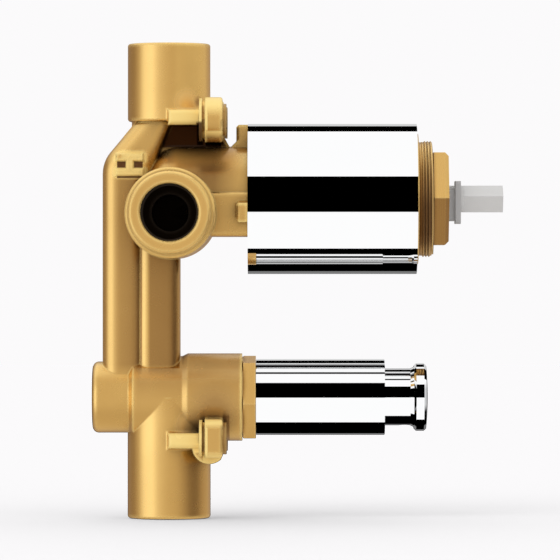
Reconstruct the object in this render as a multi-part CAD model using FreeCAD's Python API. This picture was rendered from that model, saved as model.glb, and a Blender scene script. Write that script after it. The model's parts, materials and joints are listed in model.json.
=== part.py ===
import FreeCAD, Part
import math
import os

# Concealed shower valve: a single-lever mixer above a push-pull diverter, in one cast brass body.
# Millimetres. +X points out of the wall, towards the lever and the knob. +Z is up. Hot is on the -Y side.
# The origin is the centre of the four mounting holes, on the front plane of their lugs.

# Pipe connections
PORT_BORE_D = 18.63
PORT_BORE_LENGTH = 16.0
PORT_MOUTH_CHAMFER = 0.6
PORT_RIM_CHAMFER = 0.7
SOCKET_WALL = 4.285
SOCKET_D = PORT_BORE_D + 2 * SOCKET_WALL
SOCKET_END_ROUND = 0.9
OUTLET_X = -19.1
TOP_END_Z = 77.5
TOP_SOCKET_LENGTH = 25.7
BOTTOM_END_Z = -78.7
INLET_X = -18.15
INLET_Z = 21.45
INLET_FACE_Y = 45.0
INLET_WALL = 3.985
INLET_RING_D = PORT_BORE_D + 2 * INLET_WALL
INLET_RING_LENGTH = 11.0
INLET_COLLAR_STEP = 1.5
INLET_COLLAR_D = INLET_RING_D + 2 * INLET_COLLAR_STEP
INLET_COLLAR_Y = INLET_FACE_Y - INLET_RING_LENGTH

# Water ways
PASSAGE_D = 9.4
PORT_PASSAGE_D = 8.0
INLET_PASSAGE_D = 12.0
INLET_PASSAGE_END_Y = 12.5

# Riser, on the left, with its bend up to the top socket
RISER_LEFT_X = -40.9
RISER_RIGHT_X = -27.2
RISER_HALF_DEPTH = 8.8
RISER_CORNER_R = 5.3
RISER_INNER_CORNER_R = 4.0
BEND_LEFT_Z = 38.65
BEND_RIGHT_Z = 29.8
BEND_LEFT_SLOPE_DEG = 50.0
BEND_RIGHT_SLOPE_DEG = 66.0
BEND_ROUND_R = 11.0
BEND_OVERLAP = 1.5

# Down channel, beside the riser
DOWN_LEFT_X = -29.5
DOWN_RIGHT_X = -15.4
DOWN_HALF_DEPTH = 9.2
DOWN_CORNER_R = 4.1
DOWN_X = (DOWN_LEFT_X + DOWN_RIGHT_X) / 2

# Mixing chamber and the hot and cold channels beside it
MIXER_Z = 26.4
CHAMBER_R = 17.3
CHAMBER_LEFT_X = -26.5
CHAMBER_DOME_R = 11.0
CHANNEL_TOP_Z = 28.4
CHANNEL_BOTTOM_Z = 14.0
CHANNEL_FRONT_Y = 19.6
CHANNEL_LEFT_X = -20.0
CHANNEL_EDGE_R = 1.4

# Cartridge lengths, from its seat outwards
CARTRIDGE_SEAT_X = 24.0
BASE_LENGTH = 9.0
BASE_RIGHT_X = CARTRIDGE_SEAT_X + BASE_LENGTH
DISC_RECESS_DEPTH = 2.0
DISC_RECESS_X = BASE_RIGHT_X - DISC_RECESS_DEPTH
DISC_THICKNESS = 4.0
DISC_FILM = 0.05
SHOULDER_HEIGHT = 31.0
CARTRIDGE_SHOULDER_X = CARTRIDGE_SEAT_X + SHOULDER_HEIGHT
CAVITY_ROOF = 1.5
CARTRIDGE_CAVITY_END_X = CARTRIDGE_SHOULDER_X - CAVITY_ROOF
NECK_LENGTH = 16.5
NECK_RIGHT_X = CARTRIDGE_SHOULDER_X + NECK_LENGTH

# Cartridge widths, from its bore inwards
CARTRIDGE_BORE_R = 17.4
HOUSING_FIT = 0.1
HOUSING_WALL = 2.4
CARTRIDGE_CAVITY_R = CARTRIDGE_BORE_R - HOUSING_FIT - HOUSING_WALL
DISC_EDGE = 1.5
DISC_R = CARTRIDGE_CAVITY_R - DISC_EDGE
MOVING_DISC_R = 10.8
CARRIER_R = 11.0
NECK_R = 13.4
NECK_WALL = 1.4
NECK_BORE_R = NECK_R - NECK_WALL
PORT_SEAL_R = 4.4
PORT_SEAL_HOLE_R = 3.0
PORT_SEAL_HEIGHT = 2.0
PORT_CIRCLE_R = 7.4
PORT_ANGLES_DEG = (210, 330, 90)
MIXING_POCKET_R = 6.4
MIXING_POCKET_OFFSET = 3.0

# Cartridge nut
NUT_THREAD_STEP = 1.3
NUT_THREAD_R = CARTRIDGE_BORE_R + NUT_THREAD_STEP
THREAD_FIT = 0.05
NUT_SHANK_LENGTH = 12.4
NUT_THREAD_RIGHT_X = CARTRIDGE_SHOULDER_X + NUT_SHANK_LENGTH
NUT_UNDERCUT_WIDTH = 0.5
NUT_UNDERCUT_R = 14.9
NUT_HEX_LEFT_X = NUT_THREAD_RIGHT_X + NUT_UNDERCUT_WIDTH
NUT_HEX_THICKNESS = 5.0
NUT_RIGHT_X = NUT_HEX_LEFT_X + NUT_HEX_THICKNESS
NUT_HEX_AF = 30.4
NUT_HEX_CHAMFER = 1.2
NUT_BORE_FIT = 0.15
NUT_BORE_R = NECK_R + NUT_BORE_FIT

# Mixer barrel
BARREL_LEFT_X = 8.5
BARREL_THREAD_DEPTH = 8.0
BARREL_RIGHT_X = CARTRIDGE_SHOULDER_X + BARREL_THREAD_DEPTH
BARREL_WALL = 3.3
BARREL_R = NUT_THREAD_R + BARREL_WALL
BARREL_MOUTH_CHAMFER = 0.6

# O-rings
SLEEVE_RING_D = 2.6
SLEEVE_RING_INSET = 13.0
RING_GAP = 0.05
GROOVE_EXTRA = 0.6

# Sleeve over the mixer barrel, against three stop lugs of the body
SLEEVE_WALL = 0.8
SLEEVE_CLEARANCE = 1.95
SLEEVE_OVERHANG = 1.6
SLEEVE_SETBACK = 0.5
MIXER_SLEEVE_R = BARREL_R + SLEEVE_CLEARANCE + SLEEVE_WALL
MIXER_SLEEVE_LEFT_X = BARREL_LEFT_X - SLEEVE_OVERHANG
MIXER_SLEEVE_RIGHT_X = BARREL_RIGHT_X - SLEEVE_SETBACK
STOP_LUG_LENGTH = 3.8
STOP_LUG_LEFT_X = MIXER_SLEEVE_LEFT_X - STOP_LUG_LENGTH
STOP_LUG_WIDTH = 6.3
STOP_LUG_INNER_R = 14.0
STOP_LUG_FOOT = 1.7
STOP_LUG_DROP = 0.25
STOP_LUG_CHAMFER = 0.8
SIDE_STOP_Z = 21.5

# Diverter part of the body, whose poppet slides with the knob
DIVERTER_Z = -38.9
KNOB_TRAVEL = 8.0
BOSS_LEFT_X = -44.2
BOSS_WALL = 3.5
BOSS_END_WALL = 3.2
BOSS_END_R = 2.0
STEP_LEFT_X = -32.3
STEP_LEFT_END_X = -30.8
STEP_RIGHT_X = -14.6
STEP_RIGHT_END_X = -12.9
LEFT_CHAMBER_R = 8.2
LEFT_CHAMBER_X = BOSS_LEFT_X + BOSS_END_WALL
BOSS_R = LEFT_CHAMBER_R + BOSS_WALL
POPPET_CHAMBER_R = 10.2
POPPET_CLEARANCE = 1.0
CROSS_WALL = 3.3
CROSS_R = POPPET_CHAMBER_R + CROSS_WALL
RIGHT_SEAT_X = -17.0
SEAT_WALL = 2.0
SEAT_GAP = 0.15
SEAT_WIDTH = 2.0
RIGHT_CHAMBER_R = 9.8
BONNET_THREAD_STEP = 1.6
BONNET_THREAD_R = RIGHT_CHAMBER_R + BONNET_THREAD_STEP
BONNET_THREAD_LENGTH = 9.0
HOUSING_WALL_AT_THREAD = 2.97
HOUSING_R = BONNET_THREAD_R + HOUSING_WALL_AT_THREAD
HOUSING_RIGHT_X = 5.0
OUTLET_PASSAGE_X = -11.6

# Mounting lugs
LUG_SPACING_Y = 35.0
LUG_SPACING_Z = 104.0
UPPER_LUG_R = 7.4
LOWER_LUG_HALF_WIDTH = 6.3
LOWER_LUG_CORNER_R = 2.0
LUG_LENGTH = 8.9
LUG_FLANGE_LENGTH = 1.0
LUG_GROOVE_LENGTH = 0.9
LUG_BLOCK_LENGTH = LUG_LENGTH - LUG_FLANGE_LENGTH - LUG_GROOVE_LENGTH
LUG_GROOVE_DEPTH = 1.1
LUG_FLANGE_STEP = 0.3
LUG_HOLE_D = 4.2
LUG_EDGE = 0.9
LUG_PAD_R = 5.2
LUG_PAD_HEIGHT = 1.25
ARM_HEIGHT = 5.0
ARM_FRONT_Y = 18.6
ARM_EDGE_R = 1.5
ARM_FOOT_R = 1.0
ARM_OUTWARD = 0.9
UPPER_WEB_HALF_WIDTH = 12.0
UPPER_WEB_SHOULDER_Z = 49.5
UPPER_WEB_NECK_Z = 43.2
UPPER_WEB_NECK_HALF = 3.0
UPPER_WEB_LEFT_X = -7.0
UPPER_WEB_RIGHT_X = -1.6
UPPER_WEB_KNEE_Z = 47.9
UPPER_WEB_FOOT_X = 0.8
UPPER_WEB_LOW_Z = 34.0
BACK_WEB_OUTLINE = ((-26.0, 34.0), (-21.0, 53.0), (-6.0, 53.0), (-6.0, 34.0))
LOWER_WEB_R = 5.6
LOWER_WEB_X = -5.6
LOWER_WEB_Z = -54.8
LOWER_WEB_RIGHT_X = -1.8

# Lever, its guide and its collar
LEVER_PIVOT_HEIGHT = 4.0
LEVER_PIVOT_X = CARTRIDGE_SHOULDER_X + LEVER_PIVOT_HEIGHT
LEVER_REACH = 32.0
LEVER_RIGHT_X = LEVER_PIVOT_X + LEVER_REACH
BALL_HEIGHT = 9.45
CARRIER_LEFT_X = DISC_RECESS_X + 2 * DISC_THICKNESS + DISC_FILM
LEVER_ARM = LEVER_PIVOT_X - CARRIER_LEFT_X - BALL_HEIGHT
LEVER_BALL_R = 3.0
LEVER_NECK_R = 2.3
LEVER_HUB_R = 5.2
LEVER_PIN_R = 1.5
LEVER_PIN_FIT = 0.06
LEVER_SIDE_FIT = 0.3
BALL_SOCKET_FIT = 0.3
BALL_SOCKET_FLARE = 1.2
LEVER_SQUARE = 6.32
LEVER_SQUARE_TURN_DEG = 35.0
LEVER_SHOULDER_R = 4.35
GUIDE_FLANGE_THICKNESS = 3.0
GUIDE_FLANGE_LEFT_X = CARTRIDGE_CAVITY_END_X - GUIDE_FLANGE_THICKNESS
GUIDE_SETBACK = 2.0
GUIDE_RIGHT_X = NECK_RIGHT_X - GUIDE_SETBACK
GUIDE_SLOT_WIDTH = 9.6
GUIDE_SLOT_TOP = 9.6
GUIDE_SLOT_BOTTOM = 5.6
GUIDE_SLOT_BACK = 8.2
GUIDE_FIT = 0.07
GUIDE_RING_INSET = 3.5
GUIDE_RING_X = GUIDE_RIGHT_X - GUIDE_RING_INSET
GUIDE_RING_D = 1.8
CARRIER_GAP = 0.3
CARRIER_RIGHT_X = GUIDE_FLANGE_LEFT_X - CARRIER_GAP
COLLAR_GAP = 0.8
COLLAR_LEFT_X = NECK_RIGHT_X + COLLAR_GAP
COLLAR_NECK_LENGTH = 2.9
COLLAR_FLANGE_X = COLLAR_LEFT_X + COLLAR_NECK_LENGTH
COLLAR_FLANGE_THICKNESS = 1.8
COLLAR_RIGHT_X = COLLAR_FLANGE_X + COLLAR_FLANGE_THICKNESS
COLLAR_NECK_TOP = 3.5
COLLAR_NECK_BOTTOM = 7.3
COLLAR_NECK_HALF_WIDTH = 4.6
COLLAR_FLANGE_TOP = 5.85
COLLAR_FLANGE_BOTTOM = 8.2
COLLAR_FLANGE_HALF_WIDTH = 6.0
COLLAR_EDGE_R = 1.2
COLLAR_FIT = 0.05
SHOULDER_PROUD = 1.0
LEVER_SHOULDER_RIGHT_X = COLLAR_RIGHT_X + SHOULDER_PROUD

# Diverter bonnet, sleeve and knob
SPINDLE_R = 4.0
SPINDLE_FIT = 0.06
SPINDLE_RING_D = 1.8
SPINDLE_TIP_R = 2.5
BONNET_HEX_AF = 25.1
BONNET_HEX_TURN_DEG = -8.5
BONNET_SHOULDER_LENGTH = 0.4
BONNET_SHOULDER_R = 13.3
BONNET_HEX_LEFT_X = HOUSING_RIGHT_X + BONNET_SHOULDER_LENGTH
BONNET_HEX_THICKNESS = 4.1
BONNET_HEX_RIGHT_X = BONNET_HEX_LEFT_X + BONNET_HEX_THICKNESS
BONNET_BARREL_STEP = 1.1
BONNET_BARREL_R = BONNET_THREAD_R - BONNET_BARREL_STEP
BONNET_BARREL_LENGTH = 23.5
BONNET_BARREL_RIGHT_X = BONNET_HEX_RIGHT_X + BONNET_BARREL_LENGTH
BONNET_NOSE_WALL = 2.4
BONNET_NOSE_R = SPINDLE_R + BONNET_NOSE_WALL
BONNET_NOSE_LENGTH = 10.5
BONNET_NOSE_RIGHT_X = BONNET_BARREL_RIGHT_X + BONNET_NOSE_LENGTH
BONNET_RING_D = 1.9
DIVERTER_SLEEVE_CLEARANCE = 1.34
DIVERTER_SLEEVE_R = BONNET_BARREL_R + DIVERTER_SLEEVE_CLEARANCE + SLEEVE_WALL
DIVERTER_SLEEVE_GAP = 0.1
DIVERTER_SLEEVE_LEFT_X = BONNET_HEX_RIGHT_X + DIVERTER_SLEEVE_GAP
DIVERTER_SLEEVE_LENGTH = 42.3
DIVERTER_RING_D = 1.9
DIVERTER_RING_INSET = 11.5
DIVERTER_RING_X = BONNET_HEX_RIGHT_X + DIVERTER_RING_INSET
POPPET_R = POPPET_CHAMBER_R - POPPET_CLEARANCE
POPPET_THICKNESS = 1.9
WASHER_EDGE = 0.6
WASHER_R = POPPET_R - WASHER_EDGE
WASHER_THICKNESS = 1.7
SEAT_HOLE_R = WASHER_R - SEAT_WIDTH
CLIP_R = 4.2
CLIP_THICKNESS = 0.8
CLIP_GAP = 2.5
KNOB_BARREL_GAP = 4.0
KNOB_SKIRT_LEFT_X = BONNET_BARREL_RIGHT_X + KNOB_TRAVEL + KNOB_BARREL_GAP
KNOB_BORE_CLEARANCE = 1.3
KNOB_SKIRT_BORE_R = BONNET_NOSE_R + KNOB_BORE_CLEARANCE
KNOB_SKIRT_WALL = 1.6
KNOB_SKIRT_R = KNOB_SKIRT_BORE_R + KNOB_SKIRT_WALL
KNOB_NOSE_GAP = 3.0
KNOB_SOCKET_X = BONNET_NOSE_RIGHT_X + KNOB_TRAVEL + KNOB_NOSE_GAP
KNOB_SOCKET_LENGTH = 7.1
KNOB_FLANGE_X = KNOB_SOCKET_X + KNOB_SOCKET_LENGTH
KNOB_FLANGE_STEP = 1.8
KNOB_FLANGE_R = KNOB_SKIRT_R + KNOB_FLANGE_STEP
KNOB_FLANGE_THICKNESS = 4.0
KNOB_FACE_X = KNOB_FLANGE_X + KNOB_FLANGE_THICKNESS
KNOB_FLARE = 1.2
KNOB_FLARE_RISE = 0.6
KNOB_DOME = 0.5
KNOB_EDGE = 0.7
KNOB_SCREW_INSET = 4.0
KNOB_SCREW_X = KNOB_SOCKET_X + KNOB_SCREW_INSET
KNOB_SCREW_R = 2.0
KNOB_SCREW_SOCKET_R = 1.0
KNOB_SCREW_SOCKET_DEPTH = 2.0

# Cuts run this far past the faces they open, and places closer than SAME_PLACE count as one
CUT_PAST = 1.0
SAME_PLACE = 0.01

X_AXIS = FreeCAD.Vector(1, 0, 0)
Y_AXIS = FreeCAD.Vector(0, 1, 0)
Z_AXIS = FreeCAD.Vector(0, 0, 1)


def point(x, y, z):
    return FreeCAD.Vector(x, y, z)


def rod_x(x0, x1, radius, z, y=0.0):
    return Part.makeCylinder(radius, x1 - x0, point(x0, y, z), X_AXIS)


def rod_y(y0, y1, radius, x, z):
    return Part.makeCylinder(radius, y1 - y0, point(x, y0, z), Y_AXIS)


def rod_z(z0, z1, radius, x, y=0.0):
    return Part.makeCylinder(radius, z1 - z0, point(x, y, z0), Z_AXIS)


def rod_between(start, end, radius):
    return Part.makeCylinder(radius, (end - start).Length, start, end - start)


def block(x0, x1, y0, y1, z0, z1):
    return Part.makeBox(x1 - x0, y1 - y0, z1 - z0, point(x0, y0, z0))


def turned_x(outline, z):
    """Revolve (x, radius) points about the X line at height z."""
    corners = [point(x, 0, z + radius) for x, radius in outline]
    face = Part.Face(Part.makePolygon(corners + corners[:1]))
    return face.revolve(point(0, 0, z), X_AXIS, 360)


def ring_x(x, inner_r, cord_d, z):
    """An O-ring, its section drawn with eight sides that touch the circle of the cord."""
    corner_r = cord_d / 2 / math.cos(math.pi / 8)
    outline = []
    for step in range(8):
        angle = math.pi / 8 + math.pi / 4 * step
        outline.append((x + corner_r * math.cos(angle), inner_r + cord_d / 2 + corner_r * math.sin(angle)))
    return turned_x(outline, z)


def groove_x(x, inner_r, outer_r, cord_d, z):
    """The ring of metal that is cut away for an O-ring."""
    half = (cord_d + GROOVE_EXTRA) / 2
    return rod_x(x - half, x + half, outer_r, z).cut(rod_x(x - half, x + half, inner_r, z))


def prism_y(outline, half_depth):
    """Extrude (x, z) points to both sides of the plane y = 0."""
    corners = [point(x, -half_depth, z) for x, z in outline]
    face = Part.Face(Part.makePolygon(corners + corners[:1]))
    return face.extrude(point(0, 2 * half_depth, 0))


def edges_where(shape, test):
    return [edge for edge in shape.Edges if test(edge)]


def runs_along(edge, axis):
    if not isinstance(edge.Curve, Part.Line):
        return False
    start, end = edge.Vertexes[0].Point, edge.Vertexes[-1].Point
    return (end - start).cross(axis).Length < SAME_PLACE


def rims_at(shape, axis, place):
    """The round edges whose centre lies at this place along an axis."""

    def is_rim(edge):
        return isinstance(edge.Curve, Part.Circle) and abs(edge.Curve.Center.dot(axis) - place) < SAME_PLACE

    return edges_where(shape, is_rim)


def hexagon_x(x0, x1, across_flats, z, turn_deg):
    """A hexagon bar along X, with a corner towards -Y before it is turned."""
    corner_r = across_flats / math.sqrt(3)
    corners = []
    for step in range(7):
        angle = math.radians(turn_deg + 60 * step)
        corners.append(point(x0, -corner_r * math.cos(angle), z + corner_r * math.sin(angle)))
    return Part.Face(Part.makePolygon(corners)).extrude(point(x1 - x0, 0, 0))


def both_sides(shape):
    """The shape and its mirror image in the plane y = 0."""
    return [shape, shape.mirror(point(0, 0, 0), Y_AXIS)]


def riser_column():
    """The left channel: straight from the diverter, then leaning over to the top socket."""
    socket_z = TOP_END_Z - TOP_SOCKET_LENGTH + BEND_OVERLAP
    left_run = (socket_z - BEND_LEFT_Z) / math.tan(math.radians(BEND_LEFT_SLOPE_DEG))
    right_run = (socket_z - BEND_RIGHT_Z) / math.tan(math.radians(BEND_RIGHT_SLOPE_DEG))
    outline = [
        (RISER_LEFT_X, DIVERTER_Z),
        (RISER_LEFT_X, BEND_LEFT_Z),
        (RISER_LEFT_X + left_run, socket_z),
        (RISER_RIGHT_X + right_run, socket_z),
        (RISER_RIGHT_X, BEND_RIGHT_Z),
        (RISER_RIGHT_X, DIVERTER_Z),
    ]
    column = prism_y(outline, RISER_HALF_DEPTH)

    def is_bend(edge):
        middle = edge.CenterOfMass
        at_left = abs(middle.x - RISER_LEFT_X) < SAME_PLACE and abs(middle.z - BEND_LEFT_Z) < SAME_PLACE
        at_right = abs(middle.x - RISER_RIGHT_X) < SAME_PLACE and abs(middle.z - BEND_RIGHT_Z) < SAME_PLACE
        return at_left or at_right

    column = column.makeFillet(BEND_ROUND_R, edges_where(column, is_bend))

    def long_edges(shape, at_left):
        found = []
        for edge in shape.Edges:
            ends = [vertex.Point for vertex in edge.Vertexes]
            on_face = all(abs(abs(end.y) - RISER_HALF_DEPTH) < SAME_PLACE for end in ends)
            across = runs_along(edge, X_AXIS) or runs_along(edge, Y_AXIS)
            if on_face and not across and (is_left_of_middle(edge.CenterOfMass) == at_left):
                found.append(edge)
        return found

    def is_left_of_middle(place):
        rise = max(place.z - BEND_RIGHT_Z, 0) / (socket_z - BEND_RIGHT_Z)
        low_x = (RISER_LEFT_X + RISER_RIGHT_X) / 2
        top_x = (RISER_LEFT_X + left_run + RISER_RIGHT_X + right_run) / 2
        return place.x < low_x + rise * (top_x - low_x)

    column = column.makeFillet(RISER_CORNER_R, long_edges(column, True))
    return column.makeFillet(RISER_INNER_CORNER_R, long_edges(column, False))


def down_column():
    column = block(DOWN_LEFT_X, DOWN_RIGHT_X, -DOWN_HALF_DEPTH, DOWN_HALF_DEPTH, DIVERTER_Z, MIXER_Z)
    return column.makeFillet(DOWN_CORNER_R, edges_where(column, lambda edge: runs_along(edge, Z_AXIS)))


def mixing_chamber():
    """A turned dome lying on the mixer axis, cut flat underneath."""
    dome = rod_x(CHAMBER_LEFT_X, BARREL_LEFT_X, CHAMBER_R, MIXER_Z)
    dome = dome.makeFillet(CHAMBER_DOME_R, rims_at(dome, X_AXIS, CHAMBER_LEFT_X))
    low = MIXER_Z - CHAMBER_R - CUT_PAST
    left = CHAMBER_LEFT_X - CUT_PAST
    return dome.cut(block(left, BARREL_LEFT_X + CUT_PAST, -CHAMBER_R, CHAMBER_R, low, CHANNEL_BOTTOM_Z))


def water_channels():
    """The hot and the cold channel, one bar that runs from the inlets to the barrel."""
    bar = block(
        CHANNEL_LEFT_X, BARREL_LEFT_X, -CHANNEL_FRONT_Y, CHANNEL_FRONT_Y, CHANNEL_BOTTOM_Z, CHANNEL_TOP_Z
    )

    return bar.makeFillet(CHANNEL_EDGE_R, edges_where(bar, lambda edge: runs_along(edge, X_AXIS)))


def inlet():
    """The hot inlet: a collar from the middle of the body and a narrower ring to its face."""
    collar = rod_y(-INLET_COLLAR_Y, 0, INLET_COLLAR_D / 2, INLET_X, INLET_Z)
    ring = rod_y(-INLET_FACE_Y, 0, INLET_RING_D / 2, INLET_X, INLET_Z)
    collar = collar.makeChamfer(PORT_RIM_CHAMFER, rims_at(collar, Y_AXIS, -INLET_COLLAR_Y))
    ring = ring.makeChamfer(PORT_RIM_CHAMFER, rims_at(ring, Y_AXIS, -INLET_FACE_Y))
    return collar.fuse(ring)


def pipe_sockets():
    top = rod_z(TOP_END_Z - TOP_SOCKET_LENGTH, TOP_END_Z, SOCKET_D / 2, OUTLET_X)
    top = top.makeFillet(SOCKET_END_ROUND, rims_at(top, Z_AXIS, TOP_END_Z))
    bottom = rod_z(BOTTOM_END_Z, DIVERTER_Z, SOCKET_D / 2, OUTLET_X)
    bottom = bottom.makeFillet(SOCKET_END_ROUND, rims_at(bottom, Z_AXIS, BOTTOM_END_Z))
    return [with_lug_arms(top, 1), with_lug_arms(bottom, -1)]


def with_lug_arms(socket, sign_z):
    """A pipe socket with the two arms that carry its lugs, their feet rounded where they leave the pipe."""
    arm_z = sign_z * (LUG_SPACING_Z / 2 + ARM_OUTWARD)
    arm = block(OUTLET_X, -LUG_LENGTH / 2, -ARM_FRONT_Y, 0, arm_z - ARM_HEIGHT / 2, arm_z + ARM_HEIGHT / 2)

    def is_front_edge(edge):
        middle = edge.CenterOfMass
        at_end = abs(middle.x - OUTLET_X) < SAME_PLACE
        return abs(middle.y + ARM_FRONT_Y) < SAME_PLACE and (at_end or runs_along(edge, X_AXIS))

    arm = arm.makeFillet(ARM_EDGE_R, edges_where(arm, is_front_edge))
    joined = socket.multiFuse(both_sides(arm)).removeSplitter()

    def is_foot(edge):
        ends = [vertex.Point for vertex in edge.Vertexes]
        on_pipe = all(abs(math.hypot(end.x - OUTLET_X, end.y) - SOCKET_D / 2) < SAME_PLACE for end in ends)
        return on_pipe and all(abs(end.z - arm_z) < ARM_HEIGHT / 2 + SAME_PLACE for end in ends)

    return joined.makeFillet(ARM_FOOT_R, edges_where(joined, is_foot))


def diverter_cross():
    """The diverter's turned outside, from the closed left boss to the open housing."""
    cross = turned_x(
        [
            (BOSS_LEFT_X, 0),
            (BOSS_LEFT_X, BOSS_R),
            (STEP_LEFT_X, BOSS_R),
            (STEP_LEFT_END_X, CROSS_R),
            (STEP_RIGHT_X, CROSS_R),
            (STEP_RIGHT_END_X, HOUSING_R),
            (HOUSING_RIGHT_X, HOUSING_R),
            (HOUSING_RIGHT_X, 0),
        ],
        DIVERTER_Z,
    )
    return cross.makeFillet(BOSS_END_R, rims_at(cross, X_AXIS, BOSS_LEFT_X))


def stop_lug():
    """The top stop of the mixer sleeve: a slice of a ring, with a sloped foot on the chamber."""
    seat_r = MIXER_SLEEVE_R - SLEEVE_WALL - RING_GAP
    top_r = MIXER_SLEEVE_R - STOP_LUG_DROP
    ring = turned_x(
        [
            (STOP_LUG_LEFT_X - STOP_LUG_FOOT, STOP_LUG_INNER_R),
            (STOP_LUG_LEFT_X - STOP_LUG_FOOT, CHAMBER_R),
            (STOP_LUG_LEFT_X, CHAMBER_R + STOP_LUG_FOOT),
            (STOP_LUG_LEFT_X, top_r - STOP_LUG_CHAMFER),
            (STOP_LUG_LEFT_X + STOP_LUG_CHAMFER, top_r),
            (MIXER_SLEEVE_LEFT_X, top_r),
            (MIXER_SLEEVE_LEFT_X, seat_r),
            (BARREL_LEFT_X + CUT_PAST, seat_r),
            (BARREL_LEFT_X + CUT_PAST, STOP_LUG_INNER_R),
        ],
        MIXER_Z,
    )
    half = STOP_LUG_WIDTH / 2
    left = STOP_LUG_LEFT_X - STOP_LUG_FOOT
    lug = ring.common(block(left, BARREL_LEFT_X + CUT_PAST, -half, half, MIXER_Z, MIXER_Z + MIXER_SLEEVE_R))

    def on_left_side(edge):
        return runs_along(edge, Z_AXIS) and abs(edge.CenterOfMass.x - STOP_LUG_LEFT_X) < SAME_PLACE

    return lug.makeChamfer(STOP_LUG_CHAMFER, edges_where(lug, on_left_side))


def side_stop_lug():
    """The same stop turned to the hot side, level with the water channel."""
    turn_deg = 90 + math.degrees(math.asin((MIXER_Z - SIDE_STOP_Z) / MIXER_SLEEVE_R))
    lug = stop_lug()
    lug.rotate(point(0, 0, MIXER_Z), X_AXIS, turn_deg)
    return lug


def mounting_lug(sign_z):
    """A drilled boss on the hot side: a flange, a groove, a round or rounded square block and a faced pad."""
    hole_y = -LUG_SPACING_Y / 2
    hole_z = sign_z * LUG_SPACING_Z / 2
    half = UPPER_LUG_R if sign_z > 0 else LOWER_LUG_HALF_WIDTH
    if sign_z > 0:
        lug = rod_x(-LUG_BLOCK_LENGTH, -LUG_PAD_HEIGHT, half, hole_z, hole_y)
    else:
        lug = block(
            -LUG_BLOCK_LENGTH, -LUG_PAD_HEIGHT, hole_y - half, hole_y + half, hole_z - half, hole_z + half
        )
        lug = lug.makeFillet(LOWER_LUG_CORNER_R, edges_where(lug, lambda edge: runs_along(edge, X_AXIS)))
    rims = edges_where(lug, lambda edge: abs(edge.CenterOfMass.x + LUG_PAD_HEIGHT) < SAME_PLACE)
    lug = lug.makeFillet(LUG_EDGE, rims)
    flange = rod_x(-LUG_LENGTH, -LUG_LENGTH + LUG_FLANGE_LENGTH, half - LUG_FLANGE_STEP, hole_z, hole_y)
    neck = rod_x(-LUG_LENGTH, -LUG_PAD_HEIGHT - LUG_EDGE, half - LUG_GROOVE_DEPTH, hole_z, hole_y)
    pad = rod_x(-LUG_LENGTH, 0, LUG_PAD_R, hole_z, hole_y)
    return lug.multiFuse([flange, neck, pad])


def upper_web():
    """Joins the two upper lugs to each other and to the mixing chamber, narrowing towards the chamber."""
    outline = [
        (UPPER_WEB_LEFT_X, UPPER_WEB_LOW_Z),
        (UPPER_WEB_LEFT_X, LUG_SPACING_Z / 2),
        (UPPER_WEB_RIGHT_X, LUG_SPACING_Z / 2),
        (UPPER_WEB_RIGHT_X, UPPER_WEB_KNEE_Z),
        (UPPER_WEB_FOOT_X, MIXER_Z + CHAMBER_R),
        (UPPER_WEB_FOOT_X, UPPER_WEB_LOW_Z),
    ]
    bridge = prism_y(outline, UPPER_WEB_HALF_WIDTH)
    side = [
        (UPPER_WEB_HALF_WIDTH, LUG_SPACING_Z / 2),
        (UPPER_WEB_HALF_WIDTH, UPPER_WEB_SHOULDER_Z),
        (UPPER_WEB_NECK_HALF, UPPER_WEB_NECK_Z),
        (UPPER_WEB_NECK_HALF, UPPER_WEB_LOW_Z),
    ]
    corners = [point(UPPER_WEB_LEFT_X, y, z) for y, z in side]
    corners += [point(UPPER_WEB_LEFT_X, -y, z) for y, z in reversed(side)]
    face = Part.Face(Part.makePolygon(corners + corners[:1]))
    return bridge.common(face.extrude(point(UPPER_WEB_FOOT_X - UPPER_WEB_LEFT_X, 0, 0)))


def back_web():
    """The thin wall between the riser's bend, the top socket, the chamber and the upper lugs."""
    return prism_y(BACK_WEB_OUTLINE, UPPER_WEB_NECK_HALF)


def lower_web():
    """Joins the two lower lugs behind the bottom pipe, with a rounded lower edge."""
    hole_y = LUG_SPACING_Y / 2
    web = rod_y(-hole_y, hole_y, LOWER_WEB_R, LOWER_WEB_X, LOWER_WEB_Z)
    low = LOWER_WEB_Z - LOWER_WEB_R
    high = LOWER_WEB_Z + LOWER_WEB_R
    return web.cut(block(LOWER_WEB_RIGHT_X, LOWER_WEB_X + LOWER_WEB_R, -hole_y, hole_y, low, high))


def threaded_mouth(end, inward):
    """A pipe thread's plain bore with its chamfered mouth, going inward from its end face."""
    bore = Part.makeCylinder(PORT_BORE_D / 2, PORT_BORE_LENGTH, end, inward)
    mouth_r = PORT_BORE_D / 2 + PORT_MOUTH_CHAMFER
    return bore.fuse(Part.makeCone(mouth_r, PORT_BORE_D / 2, PORT_MOUTH_CHAMFER, end, inward))


def bottom_outlet_bores():
    bore = threaded_mouth(point(OUTLET_X, 0, BOTTOM_END_Z), Z_AXIS)
    passage_z = BOTTOM_END_Z + PORT_BORE_LENGTH - CUT_PAST
    passage = rod_z(passage_z, DIVERTER_Z, PASSAGE_D / 2, OUTLET_PASSAGE_X)
    return [bore, passage]


def top_outlet_bores():
    bore_z = TOP_END_Z - PORT_BORE_LENGTH
    riser_x = (RISER_LEFT_X + RISER_RIGHT_X) / 2
    knee = point(riser_x, 0, (BEND_LEFT_Z + BEND_RIGHT_Z) / 2)
    bore = threaded_mouth(point(OUTLET_X, 0, TOP_END_Z), -Z_AXIS)
    straight = rod_z(DIVERTER_Z, knee.z, PASSAGE_D / 2, riser_x)
    corner = Part.makeSphere(PASSAGE_D / 2, knee)
    lean = rod_between(knee, point(OUTLET_X, 0, bore_z + PASSAGE_D / 2), PASSAGE_D / 2)
    return [bore, straight, corner, lean]


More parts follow.
